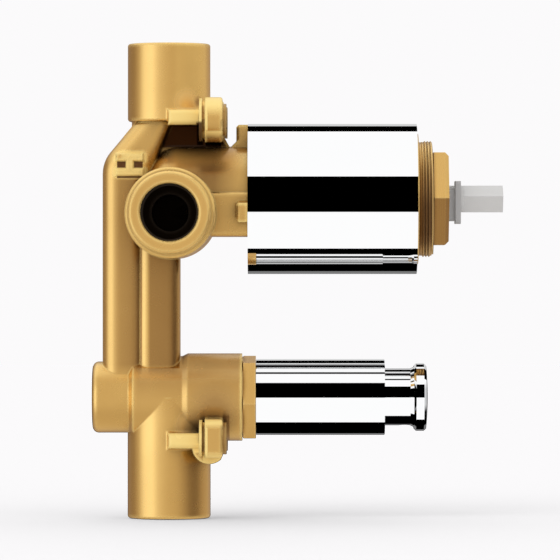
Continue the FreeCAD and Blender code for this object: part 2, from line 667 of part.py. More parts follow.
def inlet_bores():
    """The hot side: threaded mouth, the passage behind it and the way to the cartridge port."""
    mouth_end = -INLET_FACE_Y + PORT_BORE_LENGTH
    mouth = threaded_mouth(point(INLET_X, -INLET_FACE_Y, INLET_Z), Y_AXIS)
    passage = rod_y(mouth_end, -INLET_PASSAGE_END_Y, INLET_PASSAGE_D / 2, INLET_X, INLET_Z)
    port_y, port_z = port_centres()[0]
    start = point(INLET_X, -INLET_PASSAGE_END_Y - PORT_PASSAGE_D / 2, INLET_Z)
    way = rod_between(start, point(CARTRIDGE_SEAT_X, port_y, port_z), PORT_PASSAGE_D / 2)
    return [mouth, passage, way]


def port_centres():
    """Hot, cold and mixed-water ports of the cartridge, as (y, z)."""
    centres = []
    for angle_deg in PORT_ANGLES_DEG:
        angle = math.radians(angle_deg)
        centres.append((PORT_CIRCLE_R * math.cos(angle), MIXER_Z + PORT_CIRCLE_R * math.sin(angle)))
    return centres


def mixed_water_bores():
    port_y, port_z = port_centres()[2]
    along = rod_x(DOWN_X, CARTRIDGE_SEAT_X, PORT_PASSAGE_D / 2, port_z, port_y)
    corner = Part.makeSphere(PASSAGE_D / 2, point(DOWN_X, 0, port_z))
    down = rod_z(DIVERTER_Z, port_z, PASSAGE_D / 2, DOWN_X)
    return [along, corner, down]


def barrel_bores():
    bore = rod_x(CARTRIDGE_SEAT_X, BARREL_RIGHT_X, CARTRIDGE_BORE_R, MIXER_Z)
    thread = rod_x(CARTRIDGE_SHOULDER_X, BARREL_RIGHT_X, NUT_THREAD_R + THREAD_FIT, MIXER_Z)
    outer_r = BARREL_R + CUT_PAST
    inner_r = sleeve_ring_inner_r()
    grooves = [groove_x(x, inner_r, outer_r, SLEEVE_RING_D, MIXER_Z) for x in sleeve_ring_places()]
    return [bore, thread] + grooves


def sleeve_ring_places():
    return [BARREL_LEFT_X + SLEEVE_RING_INSET, MIXER_SLEEVE_RIGHT_X - SLEEVE_RING_INSET]


def sleeve_ring_inner_r():
    return MIXER_SLEEVE_R - SLEEVE_WALL - RING_GAP - SLEEVE_RING_D


def diverter_bores():
    left_wall_x = left_seat_x() - SEAT_WALL
    seat_hole = rod_x(left_wall_x, RIGHT_SEAT_X + SEAT_WALL, SEAT_HOLE_R, DIVERTER_Z)
    left = rod_x(LEFT_CHAMBER_X, left_wall_x, LEFT_CHAMBER_R, DIVERTER_Z)
    middle = rod_x(left_seat_x(), RIGHT_SEAT_X, POPPET_CHAMBER_R, DIVERTER_Z)
    right = rod_x(RIGHT_SEAT_X + SEAT_WALL, HOUSING_RIGHT_X, RIGHT_CHAMBER_R, DIVERTER_Z)
    thread_x = HOUSING_RIGHT_X - BONNET_THREAD_LENGTH
    thread = rod_x(thread_x, HOUSING_RIGHT_X, BONNET_THREAD_R + THREAD_FIT, DIVERTER_Z)
    return [seat_hole, left, middle, right, thread]


def lug_holes():
    holes = []
    for sign_y in (-1, 1):
        for sign_z in (-1, 1):
            y = sign_y * LUG_SPACING_Y / 2
            z = sign_z * LUG_SPACING_Z / 2
            holes.append(rod_x(-LUG_LENGTH, 0, LUG_HOLE_D / 2, z, y))
    return holes


def valve_body():
    barrel = rod_x(BARREL_LEFT_X, BARREL_RIGHT_X, BARREL_R, MIXER_Z)
    barrel = barrel.makeChamfer(BARREL_MOUTH_CHAMFER, rims_at(barrel, X_AXIS, BARREL_RIGHT_X))
    pieces = [riser_column(), down_column(), mixing_chamber(), water_channels(), diverter_cross()]
    pieces += pipe_sockets() + both_sides(inlet()) + both_sides(side_stop_lug()) + [stop_lug()]
    pieces += both_sides(mounting_lug(1)) + both_sides(mounting_lug(-1))
    pieces += [upper_web(), back_web(), lower_web()]
    cast = barrel.multiFuse(pieces).removeSplitter()
    bores = barrel_bores() + diverter_bores() + lug_holes() + mixed_water_bores()
    bores += top_outlet_bores() + bottom_outlet_bores()
    for bore in inlet_bores():
        bores += both_sides(bore)
    return cast.cut(bores)


def mixer_sleeve():
    tube = rod_x(MIXER_SLEEVE_LEFT_X, MIXER_SLEEVE_RIGHT_X, MIXER_SLEEVE_R, MIXER_Z)
    return tube.cut(rod_x(MIXER_SLEEVE_LEFT_X, MIXER_SLEEVE_RIGHT_X, MIXER_SLEEVE_R - SLEEVE_WALL, MIXER_Z))


def mixer_sleeve_orings():
    return Part.Compound(
        [ring_x(x, sleeve_ring_inner_r(), SLEEVE_RING_D, MIXER_Z) for x in sleeve_ring_places()]
    )


def cartridge_nut():
    shank = rod_x(CARTRIDGE_SHOULDER_X, NUT_THREAD_RIGHT_X, NUT_THREAD_R, MIXER_Z)
    shank = shank.makeChamfer(BARREL_MOUTH_CHAMFER, rims_at(shank, X_AXIS, CARTRIDGE_SHOULDER_X))
    undercut = rod_x(NUT_THREAD_RIGHT_X, NUT_HEX_LEFT_X, NUT_UNDERCUT_R, MIXER_Z)
    head = hexagon_x(NUT_HEX_LEFT_X, NUT_RIGHT_X, NUT_HEX_AF, MIXER_Z, 0)
    outer_edges = edges_where(head, lambda edge: abs(edge.CenterOfMass.x - NUT_RIGHT_X) < SAME_PLACE)
    head = head.makeChamfer(NUT_HEX_CHAMFER, outer_edges)
    nut = shank.multiFuse([undercut, head])
    return nut.cut(rod_x(CARTRIDGE_SHOULDER_X, NUT_RIGHT_X, NUT_BORE_R, MIXER_Z))


def cartridge_housing():
    outer_r = CARTRIDGE_BORE_R - HOUSING_FIT
    return turned_x(
        [
            (BASE_RIGHT_X, CARTRIDGE_CAVITY_R),
            (BASE_RIGHT_X, outer_r),
            (CARTRIDGE_SHOULDER_X, outer_r),
            (CARTRIDGE_SHOULDER_X, NECK_R),
            (NECK_RIGHT_X, NECK_R),
            (NECK_RIGHT_X, NECK_BORE_R),
            (CARTRIDGE_CAVITY_END_X, NECK_BORE_R),
            (CARTRIDGE_CAVITY_END_X, CARTRIDGE_CAVITY_R),
        ],
        MIXER_Z,
    )


def port_rods(x0, x1, radius):
    return [rod_x(x0, x1, radius, z, y) for y, z in port_centres()]


def cartridge_base():
    base = rod_x(CARTRIDGE_SEAT_X, BASE_RIGHT_X, CARTRIDGE_BORE_R - HOUSING_FIT, MIXER_Z)
    recess = rod_x(DISC_RECESS_X, BASE_RIGHT_X, DISC_R + HOUSING_FIT, MIXER_Z)
    seats = port_rods(CARTRIDGE_SEAT_X, CARTRIDGE_SEAT_X + PORT_SEAL_HEIGHT, PORT_SEAL_R + RING_GAP)
    seats += port_rods(DISC_RECESS_X - PORT_SEAL_HEIGHT, DISC_RECESS_X, PORT_SEAL_R + RING_GAP)
    return base.cut([recess] + seats + port_rods(CARTRIDGE_SEAT_X, DISC_RECESS_X, PORT_SEAL_HOLE_R))


def port_seals(x0):
    seals = []
    outer = port_rods(x0, x0 + PORT_SEAL_HEIGHT, PORT_SEAL_R)
    inner = port_rods(x0, x0 + PORT_SEAL_HEIGHT, PORT_SEAL_HOLE_R)
    for solid, hole in zip(outer, inner):
        seals.append(solid.cut(hole))
    return Part.Compound(seals)


def base_seals():
    return port_seals(CARTRIDGE_SEAT_X)


def disc_seals():
    return port_seals(DISC_RECESS_X - PORT_SEAL_HEIGHT)


def fixed_disc():
    disc = rod_x(DISC_RECESS_X, DISC_RECESS_X + DISC_THICKNESS, DISC_R, MIXER_Z)
    return disc.cut(port_rods(DISC_RECESS_X, DISC_RECESS_X + DISC_THICKNESS, PORT_SEAL_HOLE_R))


def moving_disc():
    """The upper ceramic disc, with the pocket that joins the three ports."""
    left = DISC_RECESS_X + DISC_THICKNESS + DISC_FILM
    disc = rod_x(left, left + DISC_THICKNESS, MOVING_DISC_R, MIXER_Z)
    return disc.cut(rod_x(left, left + DISC_THICKNESS / 2, MIXING_POCKET_R, MIXER_Z + MIXING_POCKET_OFFSET))


def disc_carrier():
    """Holds the moving disc and takes the ball of the lever in a coned socket."""
    ball_x = CARRIER_LEFT_X + BALL_HEIGHT
    socket_r = LEVER_BALL_R + BALL_SOCKET_FIT
    mouth_r = socket_r + BALL_SOCKET_FLARE
    carrier = rod_x(CARRIER_LEFT_X, CARRIER_RIGHT_X, CARRIER_R, MIXER_Z)
    socket = rod_x(ball_x - socket_r, CARRIER_RIGHT_X, socket_r, MIXER_Z)
    mouth = Part.makeCone(socket_r, mouth_r, CARRIER_RIGHT_X - ball_x, point(ball_x, 0, MIXER_Z), X_AXIS)
    return carrier.cut([socket, mouth])


def lever_guide():
    """The turning part of the cartridge: a flange under the shoulder and a slotted stem in the neck."""
    stem_r = NECK_BORE_R - GUIDE_FIT
    flange_right = CARTRIDGE_CAVITY_END_X - GUIDE_FIT
    flange = rod_x(GUIDE_FLANGE_LEFT_X, flange_right, CARTRIDGE_CAVITY_R - HOUSING_FIT, MIXER_Z)
    stem = rod_x(GUIDE_FLANGE_LEFT_X, GUIDE_RIGHT_X, stem_r, MIXER_Z)
    half = GUIDE_SLOT_WIDTH / 2
    front = block(
        LEVER_PIVOT_X - LEVER_HUB_R, GUIDE_RIGHT_X, -half, half,
        MIXER_Z - GUIDE_SLOT_BOTTOM, MIXER_Z + GUIDE_SLOT_TOP,
    )
    back = block(
        GUIDE_FLANGE_LEFT_X, LEVER_PIVOT_X, -half, half,
        MIXER_Z - GUIDE_SLOT_BACK, MIXER_Z + GUIDE_SLOT_BOTTOM,
    )
    pin_hole = rod_y(-stem_r, stem_r, LEVER_PIN_R, LEVER_PIVOT_X, MIXER_Z)
    groove = groove_x(GUIDE_RING_X, guide_ring_inner_r(), stem_r + CUT_PAST, GUIDE_RING_D, MIXER_Z)
    return flange.fuse(stem).cut([front, back, pin_hole, groove])


def guide_ring_inner_r():
    return NECK_BORE_R - RING_GAP - GUIDE_RING_D


def guide_oring():
    return ring_x(GUIDE_RING_X, guide_ring_inner_r(), GUIDE_RING_D, MIXER_Z)


def lever_pin():
    half = guide_ring_inner_r() - RING_GAP
    return rod_y(-half, half, LEVER_PIN_R, LEVER_PIVOT_X, MIXER_Z)


def square_x(x0, x1, side, z, turn_deg):
    corner_r = side / math.sqrt(2)
    corners = []
    for step in range(5):
        angle = math.radians(turn_deg + 45 + 90 * step)
        corners.append(point(x0, corner_r * math.cos(angle), z + corner_r * math.sin(angle)))
    return Part.Face(Part.makePolygon(corners)).extrude(point(x1 - x0, 0, 0))


def lever_spindle():
    """One moulding: square end, round hub on the pin, and the arm with its ball."""
    ball_x = LEVER_PIVOT_X - LEVER_ARM
    half = GUIDE_SLOT_WIDTH / 2 - LEVER_SIDE_FIT
    square = square_x(LEVER_PIVOT_X, LEVER_RIGHT_X, LEVER_SQUARE, MIXER_Z, LEVER_SQUARE_TURN_DEG)
    shoulder = rod_x(LEVER_PIVOT_X, LEVER_SHOULDER_RIGHT_X, LEVER_SHOULDER_R, MIXER_Z)
    hub = rod_y(-half, half, LEVER_HUB_R, LEVER_PIVOT_X, MIXER_Z)
    arm = rod_x(ball_x, LEVER_PIVOT_X, LEVER_NECK_R, MIXER_Z)
    ball = Part.makeSphere(LEVER_BALL_R, point(ball_x, 0, MIXER_Z))
    lever = square.multiFuse([shoulder, hub, arm, ball])
    return lever.cut(rod_y(-half, half, LEVER_PIN_R + LEVER_PIN_FIT, LEVER_PIVOT_X, MIXER_Z))


def lever_collar():
    """Grey collar on the spindle: a neck towards the nut and a flange outside it."""
    neck = block(
        COLLAR_LEFT_X, COLLAR_FLANGE_X, -COLLAR_NECK_HALF_WIDTH, COLLAR_NECK_HALF_WIDTH,
        MIXER_Z - COLLAR_NECK_BOTTOM, MIXER_Z + COLLAR_NECK_TOP,
    )
    flange = block(
        COLLAR_FLANGE_X, COLLAR_RIGHT_X, -COLLAR_FLANGE_HALF_WIDTH, COLLAR_FLANGE_HALF_WIDTH,
        MIXER_Z - COLLAR_FLANGE_BOTTOM, MIXER_Z + COLLAR_FLANGE_TOP,
    )
    neck = neck.makeFillet(COLLAR_EDGE_R, edges_where(neck, lambda edge: runs_along(edge, X_AXIS)))
    flange = flange.makeFillet(COLLAR_EDGE_R, edges_where(flange, lambda edge: runs_along(edge, X_AXIS)))
    collar = neck.fuse(flange)
    hole = rod_x(COLLAR_LEFT_X, COLLAR_RIGHT_X, LEVER_SHOULDER_R + COLLAR_FIT, MIXER_Z)
    side = LEVER_SQUARE + 2 * COLLAR_FIT
    corners = square_x(COLLAR_LEFT_X, COLLAR_RIGHT_X, side, MIXER_Z, LEVER_SQUARE_TURN_DEG)
    return collar.cut([hole, corners])


def diverter_bonnet():
    """Threaded into the housing; its barrel carries the small sleeve and its nose guides the spindle."""
    thread_x = HOUSING_RIGHT_X - BONNET_THREAD_LENGTH
    shank = rod_x(thread_x, BONNET_HEX_LEFT_X, BONNET_THREAD_R, DIVERTER_Z)
    shoulder = rod_x(HOUSING_RIGHT_X, BONNET_HEX_LEFT_X, BONNET_SHOULDER_R, DIVERTER_Z)
    head = hexagon_x(BONNET_HEX_LEFT_X, BONNET_HEX_RIGHT_X, BONNET_HEX_AF, DIVERTER_Z, BONNET_HEX_TURN_DEG)
    barrel = rod_x(BONNET_HEX_RIGHT_X, BONNET_BARREL_RIGHT_X, BONNET_BARREL_R, DIVERTER_Z)
    nose = rod_x(BONNET_BARREL_RIGHT_X, BONNET_NOSE_RIGHT_X, BONNET_NOSE_R, DIVERTER_Z)
    bore = rod_x(thread_x, BONNET_NOSE_RIGHT_X, SPINDLE_R + SPINDLE_FIT, DIVERTER_Z)
    barrel_r = BONNET_BARREL_R + CUT_PAST
    shank_r = BONNET_THREAD_R + CUT_PAST
    spindle_groove_r = SPINDLE_R + SPINDLE_FIT + SPINDLE_RING_D
    sleeve_groove = groove_x(DIVERTER_RING_X, diverter_ring_inner_r(), barrel_r, DIVERTER_RING_D, DIVERTER_Z)
    seal_groove = groove_x(bonnet_ring_x(), bonnet_ring_inner_r(), shank_r, BONNET_RING_D, DIVERTER_Z)
    spindle_grooves = [
        groove_x(x, SPINDLE_R, spindle_groove_r, SPINDLE_RING_D, DIVERTER_Z) for x in spindle_ring_places()
    ]
    solid = shank.multiFuse([shoulder, head, barrel, nose])
    return solid.cut([bore, sleeve_groove, seal_groove] + spindle_grooves)


def bonnet_ring_x():
    return HOUSING_RIGHT_X - BONNET_RING_D


def bonnet_ring_inner_r():
    return BONNET_THREAD_R - BONNET_RING_D


def bonnet_oring():
    return ring_x(bonnet_ring_x(), bonnet_ring_inner_r(), BONNET_RING_D, DIVERTER_Z)


def diverter_ring_inner_r():
    return DIVERTER_SLEEVE_R - SLEEVE_WALL - RING_GAP - DIVERTER_RING_D


def diverter_sleeve_oring():
    return ring_x(DIVERTER_RING_X, diverter_ring_inner_r(), DIVERTER_RING_D, DIVERTER_Z)


def spindle_ring_places():
    return [BONNET_HEX_RIGHT_X + SPINDLE_RING_D, BONNET_BARREL_RIGHT_X - SPINDLE_RING_D]


def spindle_orings():
    inner_r = SPINDLE_R + RING_GAP
    return Part.Compound([ring_x(x, inner_r, SPINDLE_RING_D, DIVERTER_Z) for x in spindle_ring_places()])


def diverter_sleeve():
    right = DIVERTER_SLEEVE_LEFT_X + DIVERTER_SLEEVE_LENGTH
    tube = rod_x(DIVERTER_SLEEVE_LEFT_X, right, DIVERTER_SLEEVE_R, DIVERTER_Z)
    return tube.cut(rod_x(DIVERTER_SLEEVE_LEFT_X, right, DIVERTER_SLEEVE_R - SLEEVE_WALL, DIVERTER_Z))


def right_washer_x():
    return RIGHT_SEAT_X - WASHER_THICKNESS - RING_GAP


def poppet_left_x():
    return right_washer_x() - POPPET_THICKNESS


def left_washer_x():
    return poppet_left_x() - WASHER_THICKNESS


def left_seat_x():
    """The left seat, which stops the poppet when the knob is pushed in."""
    return left_washer_x() - KNOB_TRAVEL - SEAT_GAP


def diverter_spindle():
    """A turned rod with its poppet disc, and a thin tip that carries the left washer and the clip."""
    tip_left = left_washer_x() - 2 * CLIP_THICKNESS
    return turned_x(
        [
            (tip_left, 0),
            (tip_left, SPINDLE_TIP_R),
            (poppet_left_x(), SPINDLE_TIP_R),
            (poppet_left_x(), POPPET_R),
            (right_washer_x(), POPPET_R),
            (right_washer_x(), SPINDLE_R),
            (KNOB_FLANGE_X, SPINDLE_R),
            (KNOB_FLANGE_X, 0),
        ],
        DIVERTER_Z,
    )


def poppet_washers():
    washers = []
    for x, hole_r in ((left_washer_x(), SPINDLE_TIP_R), (right_washer_x(), SPINDLE_R)):
        disc = rod_x(x, x + WASHER_THICKNESS, WASHER_R, DIVERTER_Z)
        washers.append(disc.cut(rod_x(x, x + WASHER_THICKNESS, hole_r + RING_GAP, DIVERTER_Z)))
    return Part.Compound(washers)


def poppet_clip():
    """A spring clip, open at the bottom, behind the left washer."""
    x = left_washer_x() - CLIP_THICKNESS
    disc = rod_x(x, x + CLIP_THICKNESS, CLIP_R, DIVERTER_Z)
    gap = block(x, x + CLIP_THICKNESS, -CLIP_GAP / 2, CLIP_GAP / 2, DIVERTER_Z - CLIP_R, DIVERTER_Z)
    return disc.cut([rod_x(x, x + CLIP_THICKNESS, SPINDLE_TIP_R + RING_GAP, DIVERTER_Z), gap])


def diverter_knob():
    """Turned: an open skirt, a flared neck, a flange and a slightly domed face."""
    knob = turned_x(
        [
            (KNOB_SKIRT_LEFT_X, KNOB_SKIRT_BORE_R),
            (KNOB_SKIRT_LEFT_X, KNOB_SKIRT_R),
            (KNOB_FLANGE_X - KNOB_FLARE, KNOB_SKIRT_R),
            (KNOB_FLANGE_X, KNOB_SKIRT_R + KNOB_FLARE_RISE),
            (KNOB_FLANGE_X, KNOB_FLANGE_R - KNOB_EDGE),
            (KNOB_FLANGE_X + KNOB_EDGE, KNOB_FLANGE_R),
            (KNOB_FACE_X - KNOB_EDGE, KNOB_FLANGE_R),
            (KNOB_FACE_X, KNOB_FLANGE_R - KNOB_EDGE),
            (KNOB_FACE_X, 0),
            (KNOB_FLANGE_X, 0),
            (KNOB_FLANGE_X, SPINDLE_R + RING_GAP),
            (KNOB_SOCKET_X, SPINDLE_R + RING_GAP),
            (KNOB_SOCKET_X, KNOB_SKIRT_BORE_R),
        ],
        DIVERTER_Z,
    )
    rim_r = KNOB_FLANGE_R - KNOB_EDGE
    ball_r = (rim_r ** 2 + KNOB_DOME ** 2) / (2 * KNOB_DOME)
    dome = Part.makeSphere(ball_r, point(KNOB_FACE_X + KNOB_DOME - ball_r, 0, DIVERTER_Z))
    dome = dome.common(rod_x(KNOB_FACE_X, KNOB_FACE_X + 2 * KNOB_DOME, rim_r, DIVERTER_Z))
    low = DIVERTER_Z - KNOB_FLANGE_R
    screw_hole = rod_z(low, DIVERTER_Z - SPINDLE_R, KNOB_SCREW_R + THREAD_FIT, KNOB_SCREW_X)
    return knob.fuse(dome).cut(screw_hole)


def knob_screw():
    """Grub screw that locks the knob on its spindle, with a hexagon socket."""
    low = DIVERTER_Z - KNOB_SKIRT_R + KNOB_EDGE
    screw = rod_z(low, DIVERTER_Z - SPINDLE_R, KNOB_SCREW_R, KNOB_SCREW_X)
    corners = []
    for step in range(7):
        angle = math.radians(60 * step)
        x = KNOB_SCREW_X + KNOB_SCREW_SOCKET_R * math.cos(angle)
        corners.append(point(x, KNOB_SCREW_SOCKET_R * math.sin(angle), low))
    socket = Part.Face(Part.makePolygon(corners)).extrude(point(0, 0, KNOB_SCREW_SOCKET_DEPTH))
    return screw.cut(socket)


PARTS = {
    "valve_body": valve_body,
    "mixer_sleeve": mixer_sleeve,
    "mixer_sleeve_orings": mixer_sleeve_orings,
    "cartridge_nut": cartridge_nut,
    "cartridge_housing": cartridge_housing,
    "cartridge_base": cartridge_base,
    "base_seals": base_seals,
    "disc_seals": disc_seals,
    "fixed_disc": fixed_disc,
    "moving_disc": moving_disc,
    "disc_carrier": disc_carrier,
    "lever_guide": lever_guide,
    "guide_oring": guide_oring,
    "lever_pin": lever_pin,
    "lever_spindle": lever_spindle,
    "lever_collar": lever_collar,
    "diverter_bonnet": diverter_bonnet,
    "bonnet_oring": bonnet_oring,
    "spindle_orings": spindle_orings,
    "diverter_sleeve": diverter_sleeve,
    "diverter_sleeve_oring": diverter_sleeve_oring,
    "diverter_spindle": diverter_spindle,
    "poppet_washers": poppet_washers,
    "poppet_clip": poppet_clip,
    "diverter_knob": diverter_knob,
    "knob_screw": knob_screw,
}


def main():
    os.makedirs("parts", exist_ok=True)
    for node, make in PARTS.items():
        make().exportStep("parts/" + node + ".step")


main()
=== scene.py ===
import json
import math

import bpy
from bpy.props import FloatProperty, FloatVectorProperty, IntProperty, PointerProperty
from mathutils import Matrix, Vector


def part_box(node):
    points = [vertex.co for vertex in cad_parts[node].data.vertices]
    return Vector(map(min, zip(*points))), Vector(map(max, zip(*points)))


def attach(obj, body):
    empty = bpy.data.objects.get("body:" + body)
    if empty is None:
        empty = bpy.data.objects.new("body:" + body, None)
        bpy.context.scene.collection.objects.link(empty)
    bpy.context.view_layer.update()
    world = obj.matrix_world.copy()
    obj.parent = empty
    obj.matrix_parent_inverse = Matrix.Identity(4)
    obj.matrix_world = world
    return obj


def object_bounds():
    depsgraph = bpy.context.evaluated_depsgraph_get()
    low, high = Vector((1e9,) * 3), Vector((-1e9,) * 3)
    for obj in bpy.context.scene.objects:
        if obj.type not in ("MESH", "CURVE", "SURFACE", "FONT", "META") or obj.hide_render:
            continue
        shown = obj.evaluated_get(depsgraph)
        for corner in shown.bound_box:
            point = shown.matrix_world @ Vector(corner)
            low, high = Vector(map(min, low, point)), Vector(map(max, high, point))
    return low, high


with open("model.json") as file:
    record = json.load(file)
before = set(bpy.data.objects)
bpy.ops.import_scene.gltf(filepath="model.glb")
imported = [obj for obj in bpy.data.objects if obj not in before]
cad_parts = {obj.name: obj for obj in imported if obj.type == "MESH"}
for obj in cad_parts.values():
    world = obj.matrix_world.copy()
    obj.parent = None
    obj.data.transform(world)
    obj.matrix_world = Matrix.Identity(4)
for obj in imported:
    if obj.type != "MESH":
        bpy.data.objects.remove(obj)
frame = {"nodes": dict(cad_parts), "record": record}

bl_info = {
    "name": "Concealed Shower Valve",
    "version": (1, 0, 0),
    "blender": (4, 5, 0),
    "location": "3D View > Sidebar > Shower Valve",
    "description": "Cuts the threads, casts the hot mark and gives each part of the valve its finish",
    "category": "Object",
}

CAD_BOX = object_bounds()
MOUNTS = {mount["name"]: mount for mount in frame["record"]["mounts"]}
THREADED_MOUTHS = ("hot_inlet", "cold_inlet", "top_outlet", "bottom_outlet")
X_AXIS = Vector((1, 0, 0))
RISER_HALF_DEPTH = 0.0088
MARK_SUNK = 0.0015
TOP_SOCKET_Z = 0.0518
NUT_THREAD_TURNS = 4.6
# section of a thread's ridge, as (share of the pitch along the thread, share of the height)
RIDGE_PROFILE = ((-0.46, -0.06), (-0.10, 1.0), (0.10, 1.0), (0.46, -0.06))

# the oblique tube's right side is where X is this slope times Z, and this offset
TUBE_SLOPE = 0.5
TUBE_OFFSET = -0.0426
# the wall of the bend that the top water way comes close to: its middle and reach
BEND_WALL_CENTRE = (-0.0316, 0.0, 0.0497)
BEND_WALL_REACH = 0.0075
# how far the painted shade goes into the inlets and into the outlets
INLET_SHADE_DEPTH = 0.033
OUTLET_SHADE_DEPTH = 0.025
# the mixing chamber's left end, and where its sides start and end from the middle plane
CHAMBER_LEFT_X = -0.0215
CHAMBER_SIDE = (0.0174, 0.0188)
# the diverter chamber's roof, left and right of where it steps up
ROOF_STEP_X = -0.0155
ROOF_LEFT_Z = -0.0293
ROOF_RIGHT_Z = -0.0240
# the lugs get the painted highlight only this far out from the middle plane, and further
LUG_HIGHLIGHT_FROM_Y = 0.0142

# colours that are mixed into the brass
WHITE = (1.0, 1.0, 1.0)
# painted highlights on the edges of cast and of turned brass
EDGE_HIGHLIGHT_CAST = (1.0, 0.76, 0.28)
EDGE_HIGHLIGHT_TURNED = (1.0, 0.76, 0.36)
# painted shade in the pockets of the hot mark
POCKET_SHADE = (0.13, 0.055, 0.016)
# painted shade in the bores
BORE_SHADE = (0.030, 0.020, 0.012)
# painted shade in the recess under the arm
RECESS_SHADE = (0.033, 0.012, 0.004)
# warm tint painted on the matt top of the mixing chamber, against the grey sheen the light leaves there
UPPER_TOP_TINT = (1.06, 0.86, 0.58)
# painted shade by how open the face lies, as (openness, colour): of the casting, and of grooves in turned
# brass
CLOSED_IN_SHADE = (
    (0.15, (0.22, 0.225, 0.26)), (0.38, (0.46, 0.465, 0.50)), (0.62, (0.80, 0.80, 0.82)), (0.86, WHITE))
GROOVE_SHADE = ((0.30, (0.10, 0.06, 0.03)), (0.62, (0.42, 0.32, 0.22)), (0.90, WHITE))

# painted shade by place, as (metres, tone): along X for the riser and down channel, along Z for the others
RUN_TONES = (
    (-0.0406, 1.0), (-0.0366, 0.88), (-0.0347, 0.74), (-0.0320, 0.66), (-0.0294, 0.52), (-0.0281, 0.52),
    (-0.0276, 1.0), (-0.0261, 1.0), (-0.0251, 0.58), (-0.0195, 0.54), (-0.0175, 0.46), (-0.0150, 0.9))
CHAMBER_TONES = (
    (0.0240, 1.0), (0.0262, 0.92), (0.0287, 0.64), (0.0314, 0.54), (0.0340, 0.48), (0.0366, 0.48),
    (0.0393, 0.64), (0.0413, 0.72), (0.0438, 0.66), (0.0445, 0.60))
DIVERTER_TONES = (
    (-0.0460, 1.0), (-0.0400, 0.95), (-0.0366, 0.87), (-0.0330, 0.76), (-0.0305, 0.72), (-0.0280, 0.80),
    (-0.0255, 0.78))
NUT_THREAD_TONES = (
    (0.0080, 0.80), (0.0098, 0.60), (0.0122, 0.36), (0.0145, 0.28), (0.0241, 0.30), (0.0274, 0.38),
    (0.0327, 0.54), (0.0360, 0.68), (0.0393, 0.86), (0.0430, 1.0))
HEXAGON_TONES = ((0.0262, 0.56), (0.0266, 1.0))
# how strong the painted highlight is on the round ends of the lugs, as (distance above or below the origin,
# share)
UPPER_BOSS_ENDS = (
    (0.0449, 0.0), (0.0469, 0.55), (0.0479, 0.80), (0.0485, 0.0), (0.0528, 0.0), (0.0538, 0.30),
    (0.0548, 0.60), (0.0558, 0.85), (0.0568, 1.0))
LOWER_BOSS_ENDS = (
    (0.0452, 0.0), (0.0460, 0.9), (0.0472, 0.9), (0.0482, 0.4), (0.0490, 0.0), (0.0560, 0.0),
    (0.0568, 0.5), (0.0578, 0.85))
# painted shadows round the lugs: a point on the hot side (the cold side is alike), its reach, its tone and
# how matt it is
LUG_SHADOW_SPOTS = (
    ((-0.0040, 0.0130, -0.0430), 0.0105, 0.66, 0.35),
    ((-0.0118, 0.0125, -0.0482), 0.0060, 0.80, 0.75),
    ((-0.0130, 0.0120, 0.0580), 0.0055, 0.90, 0.55),
    ((-0.0094, 0.0093, 0.0581), 0.0022, 0.55, 0.0),
)

# light by angle, as (degrees, level): soft light that satin metal shows, and bands that only chrome shows
SOFT_ACROSS = (
    (-165, 0.30), (-112, 0.33), (-90, 0.60), (-74, 1.20), (-46, 1.36), (-31, 0.90), (-20, 0.80), (-6, 0.70),
    (10, 0.66), (24, 0.60), (44, 0.42), (66, 0.20), (86, 0.22), (104, 0.44), (134, 0.56), (160, 0.40))
SOFT_UP = (
    (-172, 0.62), (-142, 0.64), (-119, 0.70), (-88, 0.64), (-64, 0.61), (-42, 0.62), (-12, 0.66), (20, 0.69),
    (46, 0.70), (62, 0.74), (78, 0.96), (94, 1.10), (120, 1.14), (152, 1.14), (176, 0.80))
MIRROR_BANDS = ((-180, 0.20), (-150, 0.0), (-84, 1.0), (126, 0.0), (150, 0.66))
MIRROR_GREY = (0.62, 0.62, 0.62)


# Sizes and colours

class PipeThreadSizes(bpy.types.PropertyGroup):
    """Half-inch parallel pipe thread in the four mouths."""
    pitch: FloatProperty(
        name="Pitch", description="Distance from one turn of the thread to the next",
        default=0.001814, min=0.0005, subtype="DISTANCE", unit="LENGTH")
    height: FloatProperty(
        name="Height", description="How far the crests stand in from the bore",
        default=0.00062, min=0.0001, subtype="DISTANCE", unit="LENGTH")
    setback: FloatProperty(
        name="Setback", description="Plain length between the mouth and the first turn",
        default=0.0009, min=0.0, subtype="DISTANCE", unit="LENGTH")
    steps: IntProperty(
        name="Steps", description="Straight steps in each turn of the thread", default=72, min=12)


class NutThreadSizes(bpy.types.PropertyGroup):
    """Fine thread on the shank of the cartridge nut, where it stands out of the barrel."""
    pitch: FloatProperty(
        name="Pitch", description="Distance from one turn of the thread to the next",
        default=0.00095, min=0.0003, subtype="DISTANCE", unit="LENGTH")
    height: FloatProperty(
        name="Height", description="How far the crests stand out from the shank",
        default=0.00042, min=0.0001, subtype="DISTANCE", unit="LENGTH")
    first_x: FloatProperty(
        name="Start", description="Where the thread runs out towards the barrel",
        default=0.0636, subtype="DISTANCE", unit="LENGTH")
    steps: IntProperty(
        name="Steps", description="Straight steps in each turn of the thread", default=120, min=12)


class HotMarkSizes(bpy.types.PropertyGroup):
    """The raised letter that marks the hot side."""
    width: FloatProperty(
        name="Width", description="Length of the mark along X",
        default=0.0084, subtype="DISTANCE", unit="LENGTH")
    height: FloatProperty(
        name="Height", description="Length of the mark along Z",
        default=0.0067, subtype="DISTANCE", unit="LENGTH")
    stroke: FloatProperty(
        name="Stroke", description="Width of a bar of the letter",
        default=0.0019, subtype="DISTANCE", unit="LENGTH")
    rise: FloatProperty(
        name="Rise", description="How far the letter stands out of the casting",
        default=0.0010, subtype="DISTANCE", unit="LENGTH")
    draft: FloatProperty(
        name="Draft", description="How far the sloped sides of the letter spread at its foot",
        default=0.0006, subtype="DISTANCE", unit="LENGTH")
    left_x: FloatProperty(
        name="Left", description="X of the letter's left end",
        default=-0.0360, subtype="DISTANCE", unit="LENGTH")
    low_z: FloatProperty(
        name="Low", description="Z of the letter's lower edge",
        default=0.0342, subtype="DISTANCE", unit="LENGTH")


